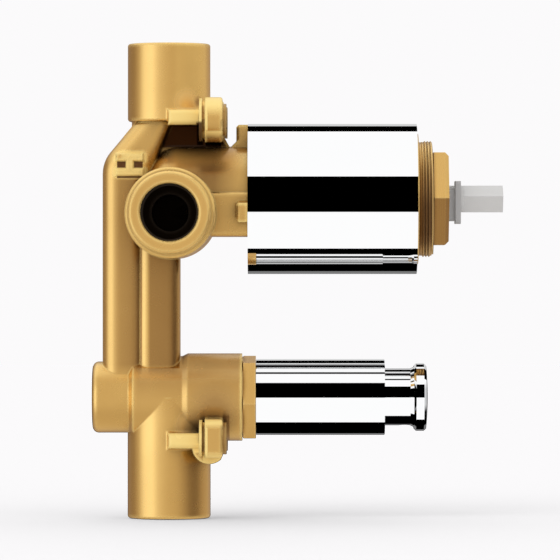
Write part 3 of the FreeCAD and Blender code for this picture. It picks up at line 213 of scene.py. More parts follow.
class BendWallSizes(bpy.types.PropertyGroup):
    """The wall on the left face of the bend, just under the top socket."""
    face_x: FloatProperty(
        name="Face", description="Where the bend's left face is at the foot of the wall",
        default=-0.03406, subtype="DISTANCE", unit="LENGTH")
    foot_z: FloatProperty(
        name="Foot", description="Height of the foot of the wall",
        default=0.0468, subtype="DISTANCE", unit="LENGTH")
    slope: FloatProperty(
        name="Slope", description="How far the face goes across for each step up", default=0.8391)
    half_width: FloatProperty(
        name="Half width", description="Half of the wall's width, from the middle of the bend",
        default=0.0048, min=0.001, subtype="DISTANCE", unit="LENGTH")
    fillet: FloatProperty(
        name="Fillet", description="How far under the socket the fillet starts, in the middle",
        default=0.0018, min=0.0, subtype="DISTANCE", unit="LENGTH")
    thickness: FloatProperty(
        name="Thickness", description="Thickness of the wall",
        default=0.0012, min=0.0005, subtype="DISTANCE", unit="LENGTH")
    proud: FloatProperty(
        name="Proud", description="How far the wall rises out of the face of the casting, from its foot up",
        default=0.00002, min=0.0, subtype="DISTANCE", unit="LENGTH")
    strips: IntProperty(
        name="Strips", description="Strips across the width of the wall", default=10, min=2)


class MetalColours(bpy.types.PropertyGroup):
    """Colours and edge sizes of the metals."""
    brass: FloatVectorProperty(
        name="Brass", description="Clean cast brass", subtype="COLOR", size=3,
        default=(0.90, 0.608, 0.222), min=0, max=1)
    brass_dull: FloatVectorProperty(
        name="Dull brass", description="Cast brass where the skin has dulled", subtype="COLOR", size=3,
        default=(0.85, 0.566, 0.202), min=0, max=1)
    cast_edge: FloatProperty(
        name="Cast edge", description="Radius that the casting's edges show",
        default=0.0008, subtype="DISTANCE", unit="LENGTH")
    turned_edge: FloatProperty(
        name="Turned edge", description="Radius that a turned edge shows",
        default=0.00022, subtype="DISTANCE", unit="LENGTH")


class StudioSettings(bpy.types.PropertyGroup):
    """Camera and light."""
    camera_distance: FloatProperty(
        name="Camera distance", description="From the camera to the middle plane of the valve",
        default=1.7, subtype="DISTANCE", unit="LENGTH")
    frame_width: FloatProperty(
        name="Frame width", description="Width of the picture at the middle plane",
        default=0.1848, subtype="DISTANCE", unit="LENGTH")
    aim_x: FloatProperty(
        name="Aim X", description="X of the picture's centre",
        default=0.01749, subtype="DISTANCE", unit="LENGTH")
    aim_z: FloatProperty(
        name="Aim Z", description="Z of the picture's centre",
        default=-0.00033, subtype="DISTANCE", unit="LENGTH")
    background: FloatVectorProperty(
        name="Background", description="Plain backdrop behind the valve", subtype="COLOR", size=3,
        default=(0.965, 0.957, 0.965), min=0, max=1)
    key_power: FloatProperty(
        name="Key lamp", description="Power of the soft lamp above and to the left",
        default=2.2, min=0, subtype="POWER", unit="POWER")
    fill_level: FloatProperty(
        name="Fill", description="Strength of the even light from all round", default=0.88, min=0)


# Mesh helpers

def new_piece(name, verts, faces, body, slot, smooth=True):
    """Make a mesh object in the valve's frame, riding on a body, with the finish of its slot."""
    mesh = bpy.data.meshes.new(name)
    mesh.from_pydata(verts, [], faces)
    mesh.validate()
    for polygon in mesh.polygons:
        polygon.use_smooth = smooth
    mesh.update()
    piece = bpy.data.objects.new(name, mesh)
    bpy.context.scene.collection.objects.link(piece)
    piece.data.materials.append(finish_of(slot))
    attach(piece, body)
    return piece


def thread_ridge(axis_point, axis, bore_r, rise, pitch, length, steps):
    """Vertices and faces of a helical ridge. It stands out by rise from a wall of radius bore_r, and
    inwards where rise is negative. Both ends run out to nothing."""
    axis = Vector(axis).normalized()
    side = axis.orthogonal().normalized()
    other = axis.cross(side)
    turns = length / pitch - 1
    count = int(turns * steps)
    verts, faces = [], []
    for i in range(count + 1):
        angle = 2 * math.pi * i / steps
        run_out = min(1.0, i / (steps * 0.5), (count - i) / (steps * 0.5))
        direction = side * math.cos(angle) + other * math.sin(angle)
        along = pitch * (0.5 + i / steps)
        for offset, part in RIDGE_PROFILE:
            share = part * run_out if part > 0 else part
            radius = bore_r + rise * share
            verts.append(axis_point + axis * (along + offset * pitch) + direction * radius)
    rows = len(RIDGE_PROFILE)
    for i in range(count):
        a, b = i * rows, (i + 1) * rows
        for j in range(rows):
            k = (j + 1) % rows
            faces.append((a + j, a + k, b + k, b + j))
    faces.append(tuple(range(rows)))
    faces.append(tuple(count * rows + j for j in reversed(range(rows))))
    return verts, faces


def stacked_outlines(layers):
    """Closed mesh through outlines of (x, z) points, each at its own y, capped at both ends."""
    verts, faces = [], []
    for outline, y in layers:
        verts += [(x, y, z) for x, z in outline]
    size = len(layers[0][0])
    for layer in range(len(layers) - 1):
        for i in range(size):
            j = (i + 1) % size
            low, high = layer * size, (layer + 1) * size
            faces.append((low + i, low + j, high + j, high + i))
    faces.append(tuple(reversed(range(size))))
    faces.append(tuple(range(len(verts) - size, len(verts))))
    return verts, faces


def lying_letter(x0, x1, z0, z1, bar, grow):
    """Outline of an H on its side: two long bars joined by a short upright one, spread by grow."""
    middle_x = (x0 + x1) / 2
    x0, x1, z0, z1, half = x0 - grow, x1 + grow, z0 - grow, z1 + grow, bar / 2 + grow
    thick = bar + 2 * grow
    return [
        (x0, z0), (x1, z0), (x1, z0 + thick), (middle_x + half, z0 + thick),
        (middle_x + half, z1 - thick), (x1, z1 - thick), (x1, z1), (x0, z1),
        (x0, z1 - thick), (middle_x - half, z1 - thick), (middle_x - half, z0 + thick), (x0, z0 + thick),
    ]


# Node helpers

class Tree:
    """Short calls for building a node tree."""

    def __init__(self, tree):
        self.tree = tree
        tree.nodes.clear()

    def add(self, kind, settings=None, **inputs):
        """A node. Its inputs are given by name, or by number as i0, i1 and so on."""
        node = self.tree.nodes.new(kind)
        for name, value in (settings or {}).items():
            setattr(node, name, value)
        for name, value in inputs.items():
            key = int(name[1:]) if name[0] == "i" and name[1:].isdigit() else name.replace("_", " ")
            self.give(node.inputs[key], value)
        return node

    def give(self, socket, value):
        """Link a socket to another one, or set its own value."""
        if isinstance(value, bpy.types.NodeSocket):
            self.tree.links.new(value, socket)
        else:
            socket.default_value = value

    def math(self, operation, a, b=0.0, c=None, clamp=False):
        inputs = {"i0": a, "i1": b}
        if c is not None:
            inputs["i2"] = c
        return self.add("ShaderNodeMath", {"operation": operation, "use_clamp": clamp}, **inputs).outputs[0]

    def vector(self, operation, *values):
        """A sum with vectors: its outputs are Vector and Value."""
        inputs = {"i%d" % index: value for index, value in enumerate(values)}
        return self.add("ShaderNodeVectorMath", {"operation": operation}, **inputs).outputs

    def split(self, place):
        """The X, Y and Z of a place."""
        return self.add("ShaderNodeSeparateXYZ", Vector=place).outputs

    def ramp(self, factor, stops, interpolation="LINEAR"):
        node = self.add("ShaderNodeValToRGB", Fac=factor)
        ramp = node.color_ramp
        ramp.interpolation = interpolation
        while len(ramp.elements) < len(stops):
            ramp.elements.new(0.5)
        for element, (position, colour) in zip(ramp.elements, stops):
            element.position = position
            if isinstance(colour, (int, float)):
                colour = (colour, colour, colour)
            element.color = (*colour, 1)
        return node.outputs["Color"]

    def noise(self, vector, scale, detail=2.0, roughness=0.5):
        node = self.add("ShaderNodeTexNoise", Vector=vector, Scale=scale, Detail=detail, Roughness=roughness)
        return node.outputs["Fac"]

    def mix(self, factor, a, b, blend="MIX"):
        """A colour between a and b, or another blend of them."""
        node = self.add("ShaderNodeMix", {"data_type": "RGBA", "blend_type": blend}, Factor=factor)
        for key, value in ((6, a), (7, b)):
            if not isinstance(value, bpy.types.NodeSocket):
                value = (*value, 1)
            self.give(node.inputs[key], value)
        return node.outputs[2]

    def multiply(self, a, b):
        return self.mix(1.0, a, b, "MULTIPLY")

    def blend(self, factor, low, high):
        """A number between low and high."""
        return self.add("ShaderNodeMapRange", Value=factor, To_Min=low, To_Max=high).outputs[0]

    def step(self, value, start, end, most=1.0):
        """0 up to the start and most from the end on, with a slope between. The end may be the lower."""
        node = self.add("ShaderNodeMapRange", Value=value, From_Min=start, From_Max=end, To_Max=most)
        return node.outputs[0]

    def within(self, value, rise, fall):
        """1 from the end of the rise to the start of the fall, with a slope over each."""
        return self.product(self.step(value, *rise), self.step(value, fall[1], fall[0]))

    def product(self, first, *others):
        for other in others:
            first = self.math("MULTIPLY", first, other)
        return first

    def largest(self, first, *others):
        for other in others:
            first = self.math("MAXIMUM", first, other)
        return first

    def level_ramp(self, value, stops):
        """Levels or colours along a length, through stops of (metres, level)."""
        low, high = stops[0][0], stops[-1][0]
        share = self.step(value, low, high)
        return self.ramp(share, [((at - low) / (high - low), level) for at, level in stops])

    def shade_ramp(self, value, stops):
        """Painted shade along a length. Darker shade is redder, as brass seen in brass is."""
        return self.level_ramp(value, [(at, (tone, tone ** 1.18, tone ** 1.15)) for at, tone in stops])

    def openness(self, distance, alone=False):
        """1 on an open face, less where the shape, or the piece alone, closes in within the distance."""
        settings = {"samples": 6, "only_local": alone}
        return self.add("ShaderNodeAmbientOcclusion", settings, Distance=distance).outputs["AO"]

    def edge_highlight_mask(self, radius):
        """1 along outer edges, 0 on faces, for painted highlights: looks inwards for another face within the
        radius.
        """
        inwards = self.add("ShaderNodeAmbientOcclusion", {"samples": 6, "inside": True}, Distance=radius)
        return self.ramp(inwards.outputs["AO"], [(0.60, 1.0), (0.94, 0.0)])

    def bump(self, height, distance, strength, **inputs):
        return self.add(
            "ShaderNodeBump", Height=height, Distance=distance, Strength=strength, **inputs).outputs[0]

    def rounded_normal(self, radius, bumps):
        """Normal of edges rounded by radius, with bump layers of (height, distance, strength) on it."""
        normal = self.add("ShaderNodeBevel", {"samples": 6}, Radius=radius).outputs[0]
        for height, distance, strength in bumps:
            normal = self.bump(height, distance, strength, Normal=normal)
        return normal


def new_finish(name):
    """A material with one shader: the material, its tree, the shader and the place on the object."""
    material = bpy.data.materials.new(name)
    material.use_nodes = True
    tree = Tree(material.node_tree)
    shader = tree.add("ShaderNodeBsdfPrincipled")
    output = tree.add("ShaderNodeOutputMaterial")
    tree.tree.links.new(shader.outputs[0], output.inputs["Surface"])
    place = tree.add("ShaderNodeTexCoord").outputs["Object"]
    return material, tree, shader, place


def set_inputs(tree, shader, **values):
    for name, value in values.items():
        tree.give(shader.inputs[name.replace("_", " ")], value)


def turn_stop(degrees, level):
    """A ramp stop at an angle from -180 to 180 degrees. Low light is warmer than bright light."""
    lack = max(0.0, 1.1 - level)
    green = 1 - 0.28 * lack
    blue = 1 - 0.65 * min(lack, 0.46) - 0.25 * max(lack - 0.46, 0.0)
    return (degrees + 180) / 360, (level, level * green, level * blue)


# Finishes

def past_tube(tree, at):
    """How far a point is to the right of the oblique tube's right side."""
    return tree.math("SUBTRACT", at["X"], tree.math("MULTIPLY_ADD", at["Z"], TUBE_SLOPE, TUBE_OFFSET))


def below_roof(tree, at):
    """1 below the roof of the diverter chamber, which steps up on its way to the right."""
    right = tree.math("GREATER_THAN", at["X"], ROOF_STEP_X)
    return tree.math("LESS_THAN", at["Z"], tree.blend(right, ROOF_LEFT_Z, ROOF_RIGHT_Z))


def tube_side(tree, place):
    """1 on the right side of the oblique tube, which the light still reaches."""
    at = tree.split(place)
    return tree.product(
        tree.within(past_tube(tree, at), (-0.0055, -0.0035), (-0.0008, 0.0)),
        tree.within(at["Z"], (0.0340, 0.0360), (0.0500, 0.0515)))


def recess_under_arm(tree, place):
    """1 for painted shade in the recess between the oblique tube and the upper lug, behind the web's front.
    """
    at = tree.split(place)
    return tree.product(
        tree.within(at["Z"], (0.0427, 0.0436), (0.0517, 0.0518)),
        tree.step(tree.math("ABSOLUTE", at["Y"]), 0.0140, 0.0130),
        tree.step(past_tube(tree, at), -0.0016, -0.0002),
        tree.math("LESS_THAN", at["X"], -0.0019))


def casting_shade(tree, place):
    """Painted shade on the riser and the down channel, and on the chambers."""
    at = tree.split(place)
    depth = tree.math("ABSOLUTE", at["Y"])
    runs = tree.product(
        tree.within(at["Z"], (-0.032, -0.028), (0.032, 0.044)), tree.step(depth, 0.0135, 0.0105))
    beside_tube = tree.largest(
        tree.math("GREATER_THAN", past_tube(tree, at), 0.0), tree.math("LESS_THAN", at["Z"], 0.0400))
    chamber = tree.product(
        tree.within(at["X"], (CHAMBER_LEFT_X, -0.0070), (-0.004, 0.004)),
        tree.step(depth, CHAMBER_SIDE[1], CHAMBER_SIDE[0]),
        tree.math("LESS_THAN", at["Z"], TOP_SOCKET_Z - 0.0001),
        beside_tube)
    diverter = tree.product(
        tree.within(at["X"], (-0.0310, -0.0290), (0.0200, 0.0205)), below_roof(tree, at))
    tone = tree.mix(runs, WHITE, tree.shade_ramp(at["X"], RUN_TONES))
    tone = tree.multiply(tone, tree.mix(chamber, WHITE, tree.shade_ramp(at["Z"], CHAMBER_TONES)))
    return tree.multiply(tone, tree.mix(diverter, WHITE, tree.shade_ramp(at["Z"], DIVERTER_TONES)))


def corner_shadows(tree, place):
    """Painted shadows in the corners round the lugs, and how matt they are there."""
    at = tree.split(place)
    depth = tree.math("ABSOLUTE", at["Y"])
    mirrored = tree.add("ShaderNodeCombineXYZ", X=at["X"], Y=depth, Z=at["Z"]).outputs[0]
    tones, matts = [], []
    for centre, reach, darkest, most in LUG_SHADOW_SPOTS:
        away = tree.vector("DISTANCE", mirrored, centre)["Value"]
        tones.append(tree.shade_ramp(away, [(0.0, darkest), (reach * 0.35, darkest), (reach, 1.0)]))
        matts.append(tree.step(away, reach, reach * 0.5, most))
    tone = tones[0]
    for other in tones[1:]:
        tone = tree.multiply(tone, other)
    return tone, tree.largest(*matts)


def lug_shade(tree, place):
    """Painted shade round the lugs: beside the pads, in the groove at the arms and under the upper arms."""
    at = tree.split(place)
    level = tree.math("ABSOLUTE", at["Z"])
    pads = tree.product(
        tree.within(at["X"], (-0.0014, -0.0010), (0.0008, 0.0010)),
        tree.within(level, (0.0440, 0.0450), (0.0580, 0.0590)))
    grooves = tree.product(
        tree.within(at["X"], (-0.0081, -0.0079), (-0.0073, -0.0071)),
        tree.within(level, (0.0470, 0.0480), (0.0560, 0.0570)))
    under = tree.product(
        tree.within(at["X"], (-0.0100, -0.0097), (-0.0080, -0.0078)),
        tree.within(at["Z"], (0.0440, 0.0442), (0.0508, 0.0516)))
    tone = WHITE
    shades = ((pads, (0.50, 0.43, 0.40)), (grooves, (0.55, 0.46, 0.42)), (under, (0.12, 0.08, 0.07)))
    for mask, dark in shades:
        tone = tree.mix(mask, tone, dark)
    return tone


def lug_highlights(tree, place):
    """1 for a painted highlight on the outer faces of the four lug arms and on the edges of the lugs."""
    at = tree.split(place)
    level = tree.math("ABSOLUTE", at["Z"])
    arms = tree.product(
        tree.within(at["X"], (-0.0192, -0.0186), (-0.0082, -0.0078)),
        tree.within(level, (0.0499, 0.0505), (0.0566, 0.0571)))
    upper = tree.level_ramp(at["Z"], UPPER_BOSS_ENDS)
    lower = tree.level_ramp(tree.math("MULTIPLY", at["Z"], -1.0), LOWER_BOSS_ENDS)
    ends = tree.largest(upper, tree.product(lower, tree.math("LESS_THAN", at["Z"], 0.0)))
    bosses = tree.product(tree.within(at["X"], (-0.0078, -0.0076), (-0.0010, -0.0008)), ends)
    rims = tree.product(
        tree.within(at["X"], (-0.0070, -0.0068), (-0.0062, -0.0060)),
        tree.within(level, (0.0480, 0.0486), (0.0577, 0.0582)))
    proud = tree.math("GREATER_THAN", tree.math("ABSOLUTE", at["Y"]), LUG_HIGHLIGHT_FROM_Y)
    return tree.product(tree.largest(arms, bosses, rims), proud)


def matt_tops(tree, place):
    """1 on the mixing chamber just under the top socket, and 1 on the roof of the diverter chamber."""
    at = tree.split(place)
    upper = tree.product(
        tree.within(at["X"], (CHAMBER_LEFT_X, -0.0170), (0.0, 0.006)),
        tree.within(at["Z"], (0.0330, 0.0385), (0.0438, 0.0443)),
        tree.step(tree.math("ABSOLUTE", at["Y"]), CHAMBER_SIDE[1], CHAMBER_SIDE[0]))
    lower = tree.product(
        tree.within(at["X"], (-0.0300, -0.0280), (0.0170, 0.0175)),
        tree.within(at["Z"], (-0.0345, -0.0300), (-0.0241, -0.0240)),
        below_roof(tree, at))
    return upper, lower


def mark_pockets(tree, place):
    """1 for painted shade on the riser's face between the bars of the hot mark and just under it."""
    mark = bpy.context.scene.valve_hot_mark
    left, right = mark.left_x, mark.left_x + mark.width
    low, high = mark.low_z, mark.low_z + mark.height
    face_y = -RISER_HALF_DEPTH
    at = tree.split(place)
    return tree.product(
        tree.within(at["X"], (left - 0.0001, left + 0.0001), (right - 0.0001, right + 0.0002)),
        tree.within(at["Z"], (low - 0.0012, low - 0.0009), (high - 0.0003, high)),
        tree.within(at["Y"], (face_y - 0.0005, face_y - 0.0001), (0.0, 0.001)))


def nut_shade(tree, place):
    """Painted shade on the cartridge nut: its thread darker below its top, and the hexagon's lower side
    darker.
    """
    at = tree.split(place)
    thread = tree.within(at["X"], (0.0604, 0.0610), (0.0670, 0.0677))
    hexagon = tree.within(at["X"], (0.0677, 0.0678), (0.0740, 0.0741))
    return tree.multiply(
        tree.mix(thread, WHITE, tree.shade_ramp(at["Z"], NUT_THREAD_TONES)),
        tree.mix(hexagon, WHITE, tree.shade_ramp(at["Z"], HEXAGON_TONES)))


def inside_mouths(tree, place):
    """1 for painted shade inside the four threaded bores, past their chamfers."""
    bores = []
    for name in THREADED_MOUTHS:
        mount = MOUNTS[name]
        axis = Vector(mount["axis"])
        from_mouth = tree.vector("SUBTRACT", place, tuple(mount["pos_m"]))["Vector"]
        depth = tree.vector("DOT_PRODUCT", from_mouth, tuple(-axis))["Value"]
        across = tree.vector("MULTIPLY", from_mouth, tuple(1 - abs(part) for part in axis))["Vector"]
        radius = tree.vector("LENGTH", across)["Value"]
        bores.append(tree.product(
            tree.math("LESS_THAN", radius, mount["dims"]["r_mm"] / 1000 + 0.0001),
            tree.step(depth, 0.0002, 0.0016),
            tree.math("LESS_THAN", depth, INLET_SHADE_DEPTH if axis.y else OUTLET_SHADE_DEPTH)))
    return tree.largest(*bores)


def off_bend_wall(tree, place):
    """0 round the wall of the bend, 1 away from it."""
    away = tree.vector("DISTANCE", place, BEND_WALL_CENTRE)["Value"]
    return tree.step(away, BEND_WALL_REACH * 0.75, BEND_WALL_REACH)


def cast_brass(colours):
    """Clean skin on open faces, with painted shade where the casting closes in, in its bores, in the recess
    under the arm and in the hot mark's pockets, and painted highlights on its edges.
    """
    material, tree, shader, place = new_finish("cast_brass")
    broad = tree.noise(place, 45, 3.0, 0.55)
    grain = tree.noise(place, 1400, 3.0, 0.6)
    dimple = tree.noise(place, 330, 2.0, 0.5)
    height = tree.split(place)["Z"]
    upper_top, lower_top = matt_tops(tree, place)
    recess = recess_under_arm(tree, place)
    inside = inside_mouths(tree, place)

    clean = tree.mix(tree.ramp(broad, [(0.35, 0.0), (0.65, 1.0)]), colours.brass, colours.brass_dull)
    # painted shade where the casting closes in, lifted on the top socket and on the tube's lit side
    broad_open = tree.openness(0.026, alone=True)
    on_socket = tree.math("GREATER_THAN", height, TOP_SOCKET_Z + 0.0002)
    openness_shade = tree.mix(on_socket, tree.ramp(broad_open, CLOSED_IN_SHADE), WHITE)
    openness_shade = tree.mix(tube_side(tree, place), openness_shade, WHITE)
    # painted shadows round the lugs, multiplied into the skin with the other painted shade
    corner_shade, corner_matt = corner_shadows(tree, place)
    skin = tree.multiply(tree.multiply(clean, openness_shade), tree.multiply(casting_shade(tree, place), corner_shade))
    skin = tree.multiply(skin, tree.mix(upper_top, WHITE, UPPER_TOP_TINT))
    skin = tree.mix(recess, skin, RECESS_SHADE)

    # painted highlights: along concave junctions (fillet), on outer edges and on the lug faces, in a
    # brighter and less metallic colour, kept off round the bend wall and in the recess
    fillet = tree.product(
        tree.ramp(tree.openness(0.0009, alone=True), [(0.50, 0.9), (0.74, 0.0)]),
        tree.ramp(broad_open, [(0.30, 0.0), (0.42, 1.0)]))
    edge = tree.largest(tree.edge_highlight_mask(0.0013), fillet, lug_highlights(tree, place))
    edge = tree.product(edge, tree.math("SUBTRACT", off_bend_wall(tree, place), recess, clamp=True), 0.95)
    highlighted = tree.multiply(tree.mix(edge, skin, EDGE_HIGHLIGHT_CAST), lug_shade(tree, place))
    pocket_shaded = tree.mix(mark_pockets(tree, place), highlighted, POCKET_SHADE)
    colour = tree.mix(inside, pocket_shaded, BORE_SHADE)

    tops = tree.product(tree.largest(upper_top, lower_top), 0.7)
    metallic = tree.math("SUBTRACT", 1.0, tree.largest(edge, tops, corner_matt))
    roughness = tree.largest(tree.blend(tree.noise(place, 160, 3.0), 0.23, 0.30), tree.product(inside, 0.8))
    normal = tree.rounded_normal(colours.cast_edge, [(dimple, 0.00008, 0.022), (grain, 0.00003, 0.06)])
    set_inputs(tree, shader, Base_Color=colour, Metallic=metallic, Roughness=roughness, Normal=normal,
               Specular_IOR_Level=0.25)
    return material


def turned_brass(colours):
    """Fine tool lines round the X line, with painted shade in the grooves and painted highlights on the
    edges.
    """
    material, tree, shader, place = new_finish("turned_brass")
    only_x = tree.add("ShaderNodeCombineXYZ", X=tree.split(place)["X"]).outputs[0]
    lines = tree.noise(only_x, 5200, 2.0, 0.6)
    tint = tree.noise(place, 60, 2.0)
    clean = tree.mix(tree.ramp(tint, [(0.35, 0.0), (0.65, 1.0)]), (0.92, 0.622, 0.228), (0.87, 0.580, 0.208))
    groove_shaded = tree.multiply(clean, tree.ramp(tree.openness(0.0016), GROOVE_SHADE))
    # painted highlights on the edges
    edge = tree.product(tree.edge_highlight_mask(0.0006), 0.35)
    colour = tree.multiply(tree.mix(edge, groove_shaded, EDGE_HIGHLIGHT_TURNED), nut_shade(tree, place))
    normal = tree.rounded_normal(colours.turned_edge, [(lines, 0.00002, 0.25)])
    set_inputs(tree, shader, Base_Color=colour, Metallic=tree.math("SUBTRACT", 1.0, edge),
               Roughness=tree.blend(lines, 0.22, 0.32), Normal=normal, Specular_IOR_Level=0.25)
    return material


def chrome():
    """Mirror-bright plate, hardly waved."""
    material, tree, shader, place = new_finish("chrome")
    colour = tree.mix(tree.noise(place, 30, 2.0), (0.965, 0.97, 0.98), (0.985, 0.985, 0.985))
    wave = tree.noise(place, 55, 1.0)
    normal = tree.bump(wave, 0.000004, 0.2)
    set_inputs(tree, shader, Base_Color=colour, Metallic=1.0, Roughness=0.0, Normal=normal)
    return material


def moulded_plastic(name, light, dark, rough):
    """Plastic with a fine moulded grain."""
    material, tree, shader, place = new_finish(name)
    colour = tree.mix(tree.noise(place, 90, 3.0), light, dark)
    normal = tree.rounded_normal(0.00025, [(tree.noise(place, 2600, 2.0, 0.6), 0.00002, 0.35)])
    roughness = tree.blend(tree.noise(place, 240, 2.0), rough - 0.05, rough + 0.05)
    set_inputs(tree, shader, Base_Color=colour, Roughness=roughness, Normal=normal)
    return material


def black_rubber():
    """Matt rubber of the O-rings and seals."""
    material, tree, shader, place = new_finish("black_rubber")
    cloud = tree.noise(place, 400, 3.0)
    colour = tree.mix(cloud, (0.011, 0.011, 0.012), (0.03, 0.03, 0.032))
    grain = tree.noise(place, 3000, 2.0)
    normal = tree.bump(grain, 0.00003, 0.4)
    set_inputs(tree, shader, Base_Color=colour, Roughness=tree.blend(cloud, 0.5, 0.68), Normal=normal)
    return material


def disc_ceramic():
    """Lapped ceramic of the two discs."""
    material, tree, shader, place = new_finish("disc_ceramic")
    speckle = tree.noise(place, 2200, 2.0)
    colour = tree.mix(speckle, (0.86, 0.84, 0.78), (0.80, 0.775, 0.70))
    normal = tree.rounded_normal(0.0001, [(speckle, 0.00001, 0.2)])
    set_inputs(tree, shader, Base_Color=colour, Roughness=tree.blend(speckle, 0.14, 0.24), Normal=normal)
    return material


def turned_steel():
    """Steel with tool lines across the X line."""
    material, tree, shader, place = new_finish("steel")
    stretched = tree.vector("MULTIPLY", place, (9.0, 1.0, 1.0))["Vector"]
    lines = tree.noise(stretched, 900, 2.0, 0.7)
    colour = tree.mix(lines, (0.56, 0.56, 0.57), (0.66, 0.66, 0.66))
    normal = tree.rounded_normal(0.00015, [(lines, 0.00001, 0.3)])
    roughness = tree.blend(lines, 0.26, 0.4)
    set_inputs(tree, shader, Base_Color=colour, Metallic=1.0, Roughness=roughness, Normal=normal)
    return material


def finish_of(slot):
    """The finish of a material slot, made when it is first asked for."""
    found = bpy.data.materials.get(slot)
    if found and found.get("made_here"):
        return found
    if found:
        found.name = "packed_" + slot
    colours = bpy.context.scene.valve_metal
    makers = {
        "cast_brass": lambda: cast_brass(colours),
        "turned_brass": lambda: turned_brass(colours),
        "chrome": chrome,
        "grey_plastic": lambda: moulded_plastic(slot, (0.47, 0.47, 0.48), (0.42, 0.42, 0.43), 0.45),
        "pale_plastic": lambda: moulded_plastic(slot, (0.67, 0.67, 0.67), (0.62, 0.62, 0.62), 0.42),
        "white_plastic": lambda: moulded_plastic(slot, (0.80, 0.80, 0.77), (0.74, 0.74, 0.71), 0.4),
        "black_rubber": black_rubber,
        "disc_ceramic": disc_ceramic,
        "steel": turned_steel,
    }
    material = makers[slot]()
    material["made_here"] = True
    return material


# Operators

class VALVE_OT_part_finishes(bpy.types.Operator):
    """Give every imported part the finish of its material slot"""
    bl_idname = "valve.part_finishes"
    bl_label = "Finishes of the parts"

    def execute(self, context):
        slots = {part["node"]: part["material_slot"] for part in frame["record"]["subparts"]}
        for name, node in frame["nodes"].items():
            if name not in slots:
                raise RuntimeError("no material slot is recorded for " + name)
            material = finish_of(slots[name])
            node.data.materials.clear()
            node.data.materials.append(material)
        return {"FINISHED"}


class VALVE_OT_pipe_threads(bpy.types.Operator):
    """Cut the pipe thread in the two inlets and the two outlets"""
    bl_idname = "valve.pipe_threads"
    bl_label = "Pipe threads"

    def execute(self, context):
        sizes = context.scene.valve_pipe_thread
        for name in THREADED_MOUTHS:
            mount = MOUNTS[name]
            outward = Vector(mount["axis"])
            start = Vector(mount["pos_m"]) - outward * sizes.setback
            verts, faces = thread_ridge(
                start, -outward, mount["dims"]["r_mm"] / 1000, -sizes.height, sizes.pitch,
                mount["dims"]["length_mm"] / 1000 - 2 * sizes.setback, sizes.steps)
            new_piece(name + "_thread", verts, faces, "valve", "cast_brass")
        return {"FINISHED"}


class VALVE_OT_nut_thread(bpy.types.Operator):
    """Cut the fine thread on the shank of the cartridge nut"""
    bl_idname = "valve.nut_thread"
    bl_label = "Thread of the cartridge nut"

    def execute(self, context):
        sizes = context.scene.valve_nut_thread
        low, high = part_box("cartridge_nut")
        centre_z = (low.z + high.z) / 2
        shank_r = (high.z - low.z) / 2
        verts, faces = thread_ridge(
            Vector((sizes.first_x, 0, centre_z)), X_AXIS, shank_r, sizes.height, sizes.pitch,
            NUT_THREAD_TURNS * sizes.pitch, sizes.steps)
        new_piece("nut_thread", verts, faces, "valve", "turned_brass")
        return {"FINISHED"}


class VALVE_OT_hot_mark(bpy.types.Operator):
    """Raise the letter that marks the hot side on the bend of the riser"""
    bl_idname = "valve.hot_mark"
    bl_label = "Hot mark"

    def execute(self, context):
        sizes = context.scene.valve_hot_mark
        corners = (sizes.left_x, sizes.left_x + sizes.width, sizes.low_z, sizes.low_z + sizes.height)
        face_y = -RISER_HALF_DEPTH
        foot = lying_letter(*corners, sizes.stroke, sizes.draft)
        top = lying_letter(*corners, sizes.stroke, 0.0)
        verts, faces = stacked_outlines([
            (foot, face_y + MARK_SUNK), (foot, face_y), (top, face_y - sizes.rise)])
        new_piece("hot_mark", verts, faces, "valve", "cast_brass", smooth=False)
        return {"FINISHED"}


class VALVE_OT_bend_wall(bpy.types.Operator):
    """Close the wall of the bend under the top socket, with a fillet that meets the socket"""
    bl_idname = "valve.bend_wall"
    bl_label = "Wall of the bend"

    def execute(self, context):
        sizes = context.scene.valve_bend_wall
        top_z = TOP_SOCKET_Z + 0.0004
        layers = []
        for i in range(sizes.strips + 1):
            t = 2 * i / sizes.strips - 1
            knee_z = TOP_SOCKET_Z - sizes.fillet * (1 - t * t)
            knee_x = sizes.face_x + sizes.slope * (knee_z - sizes.foot_z)
            outline = [
                (sizes.face_x + sizes.proud, sizes.foot_z), (knee_x - sizes.proud, knee_z),
                (knee_x - sizes.proud, top_z), (knee_x + sizes.thickness, top_z),
                (knee_x + sizes.thickness, knee_z), (sizes.face_x + sizes.thickness, sizes.foot_z),
            ]
            layers.append((outline, t * sizes.half_width))
        verts, faces = stacked_outlines(layers)
        new_piece("bend_wall", verts, faces, "valve", "cast_brass", smooth=False)
        return {"FINISHED"}


